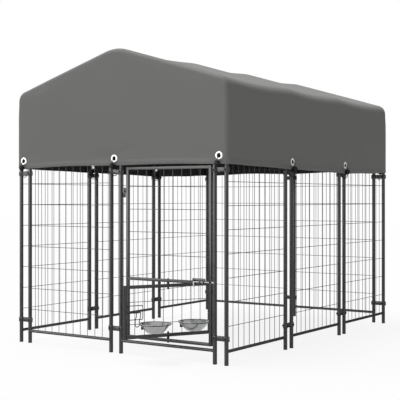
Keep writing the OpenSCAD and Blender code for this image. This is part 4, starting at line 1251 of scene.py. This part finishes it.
class KENNEL_OT_finishes(bpy.types.Operator):
    """Gives every CAD node its finish, and rounds the edges of the bars, plates and fittings."""

    bl_idname = "kennel.finishes"
    bl_label = "Finishes"

    def execute(self, context):
        slots = {p["node"]: p["material_slot"] for p in frame["record"]["subparts"]}
        for name, ob in frame["nodes"].items():
            ob.data.materials.clear()
            ob.data.materials.append(finish_of(slots[name]))
            for face in ob.data.polygons:
                face.use_smooth = True
            modifier(ob, "merge", "WELD", merge_threshold=0.00001)
            if name in ROUNDED:
                modifier(
                    ob, "rounded", "BEVEL", width=ROUNDED[name] * MM, segments=2,
                    limit_method="ANGLE", angle_limit=math.radians(50),
                    harden_normals=True, use_clamp_overlap=True,
                )
            else:
                modifier(ob, "sharp", "EDGE_SPLIT", split_angle=math.radians(35))
        return {"FINISHED"}


# Stage

CAMERA_AT = (3.7808, -4.6437, 0.9704)
CAMERA_TURN = 34.114
LENS = 85.67
SHIFT_UP = -0.00525
FLOOR_SIZE = 60
SKY_LIGHT = 0.25
FLOOR_GLOW = 0.9
SUN_POWER = 5.0
SUN_ANGLE = 40
SUN_WAY = (0.30, 0.10, -0.949)


def aimed(way):
    """Turn that points a lamp along a direction."""
    return Vector(way).to_track_quat("-Z", "Y").to_euler()


def area_lamp(name, place, target, size, power):
    """A soft lamp at a place, facing a target."""
    lamp = bpy.data.lights.new(name, "AREA")
    lamp.shape = "RECTANGLE"
    lamp.size, lamp.size_y = size
    lamp.energy = power
    ob = new_object(name, lamp)
    ob.location = place
    ob.rotation_euler = aimed(Vector(target) - Vector(place))
    return ob


def background_rays(tree):
    """1 for the rays that show the white background: camera, glossy and transmitted ones."""
    seen = tree.nodes.new("ShaderNodeLightPath")
    rays = maths(tree, "MAXIMUM", seen.outputs["Is Camera Ray"], seen.outputs["Is Glossy Ray"])
    return maths(tree, "MAXIMUM", rays, seen.outputs["Is Transmission Ray"])


def between(tree, share, first, second, end):
    """Mixes two shaders into an output node."""
    mix = tree.nodes.new("ShaderNodeMixShader")
    tree.links.new(share, mix.inputs[0])
    tree.links.new(first.outputs[0], mix.inputs[1])
    tree.links.new(second.outputs[0], mix.inputs[2])
    tree.links.new(mix.outputs[0], tree.nodes[end].inputs["Surface"])


def make_floor():
    """A pale floor that shows almost white and keeps the shadow."""
    start_clean()
    bpy.ops.mesh.primitive_plane_add(size=FLOOR_SIZE, location=(0, 0, 0))
    floor = bpy.context.object
    floor.name = "floor"
    material, tree, shader, place = new_material("studio floor")
    grain = use(tree, "grain", Vector=place["Object"], Fine=40.0, Slow=0.4)
    base = colours().floor
    tone = mixed(tree, grain["Patch"], shade(base, 0.99), base)
    tune(shader, Base_Color=tone, Roughness=0.9, Specular_IOR_Level=0.1)
    glow = node(tree, "ShaderNodeEmission", Strength=1.0)
    share = maths(tree, "MULTIPLY", background_rays(tree), FLOOR_GLOW)
    between(tree, share, shader, glow, "Material Output")
    floor.data.materials.append(material)


def make_world():
    """Soft light from all round, behind a white background."""
    world = bpy.data.worlds.new("studio")
    bpy.context.scene.world = world
    world.use_nodes = True
    tree = world.node_tree
    soft = tree.nodes["Background"]
    white = tree.nodes.new("ShaderNodeBackground")
    tune(soft, Color=(1, 1, 1, 1), Strength=SKY_LIGHT)
    tune(white, Color=(1, 1, 1, 1), Strength=1.0)
    between(tree, background_rays(tree), soft, white, "World Output")


def make_lamps():
    """A broad key lamp from above, a weak fill, and a card that only shows in gloss."""
    sun = bpy.data.lights.new("key", "SUN")
    sun.energy = SUN_POWER
    sun.angle = math.radians(SUN_ANGLE)
    key = new_object("key", sun)
    key.visible_glossy = False
    key.rotation_euler = aimed(SUN_WAY)
    area_lamp("front fill", place=(1.5, -8.0, 3.0), target=(0, 0, 0.9), size=(3, 3), power=60)
    card = area_lamp(
        "left gloss card", place=(-3.4, -5.9, 2.4), target=(0, -1.0, 2.4), size=(14, 4), power=600
    )
    card.visible_diffuse = False
    card.visible_camera = False


def make_camera():
    """The camera at the photograph's viewing angle."""
    lens = bpy.data.cameras.new("camera")
    lens.sensor_width = 36
    lens.lens = LENS
    lens.shift_y = SHIFT_UP
    lens.clip_end = 200
    camera = new_object("camera", lens)
    camera.location = (CAMERA_AT[0], CAMERA_AT[1] + FRONT, CAMERA_AT[2])
    camera.rotation_euler = (math.pi / 2, 0, math.radians(CAMERA_TURN))
    bpy.context.scene.camera = camera


class KENNEL_OT_stage(bpy.types.Operator):
    """Makes the floor, the lamps, the world and the camera."""

    bl_idname = "kennel.stage"
    bl_label = "Stage"

    def execute(self, context):
        context.scene.view_settings.view_transform = "Standard"
        make_floor()
        make_world()
        make_lamps()
        make_camera()
        return {"FINISHED"}


STEPS = (
    KENNEL_OT_finishes,
    KENNEL_OT_cover,
    KENNEL_OT_grommets,
    KENNEL_OT_ties,
    KENNEL_OT_feet,
    KENNEL_OT_clamp_bolts,
    KENNEL_OT_bowls,
    KENNEL_OT_lock_bolt,
    KENNEL_OT_welds,
    KENNEL_OT_stage,
)


class KENNEL_PT_panel(bpy.types.Panel):
    """Lists the kennel's pieces, sizes and colours."""

    bl_label = "Kennel run"
    bl_idname = "KENNEL_PT_panel"
    bl_space_type = "VIEW_3D"
    bl_region_type = "UI"
    bl_category = "Kennel"

    def draw(self, context):
        for step in STEPS:
            self.layout.operator(step.bl_idname)
        for group_name in ("kennel_sizes", "kennel_colours"):
            box = self.layout.box()
            values = getattr(context.scene, group_name)
            for key in values.__annotations__:
                box.prop(values, key)


CLASSES = (KennelSizes, KennelColours, *STEPS, KENNEL_PT_panel)


def register():
    for made in CLASSES:
        bpy.utils.register_class(made)
    bpy.types.Scene.kennel_sizes = bpy.props.PointerProperty(type=KennelSizes)
    bpy.types.Scene.kennel_colours = bpy.props.PointerProperty(type=KennelColours)


def unregister():
    del bpy.types.Scene.kennel_colours
    del bpy.types.Scene.kennel_sizes
    for made in reversed(CLASSES):
        bpy.utils.unregister_class(made)


def main():
    register()
    for step in STEPS:
        family, name = step.bl_idname.split(".")
        getattr(getattr(bpy.ops, family), name)()


if __name__ == "__main__":
    main()
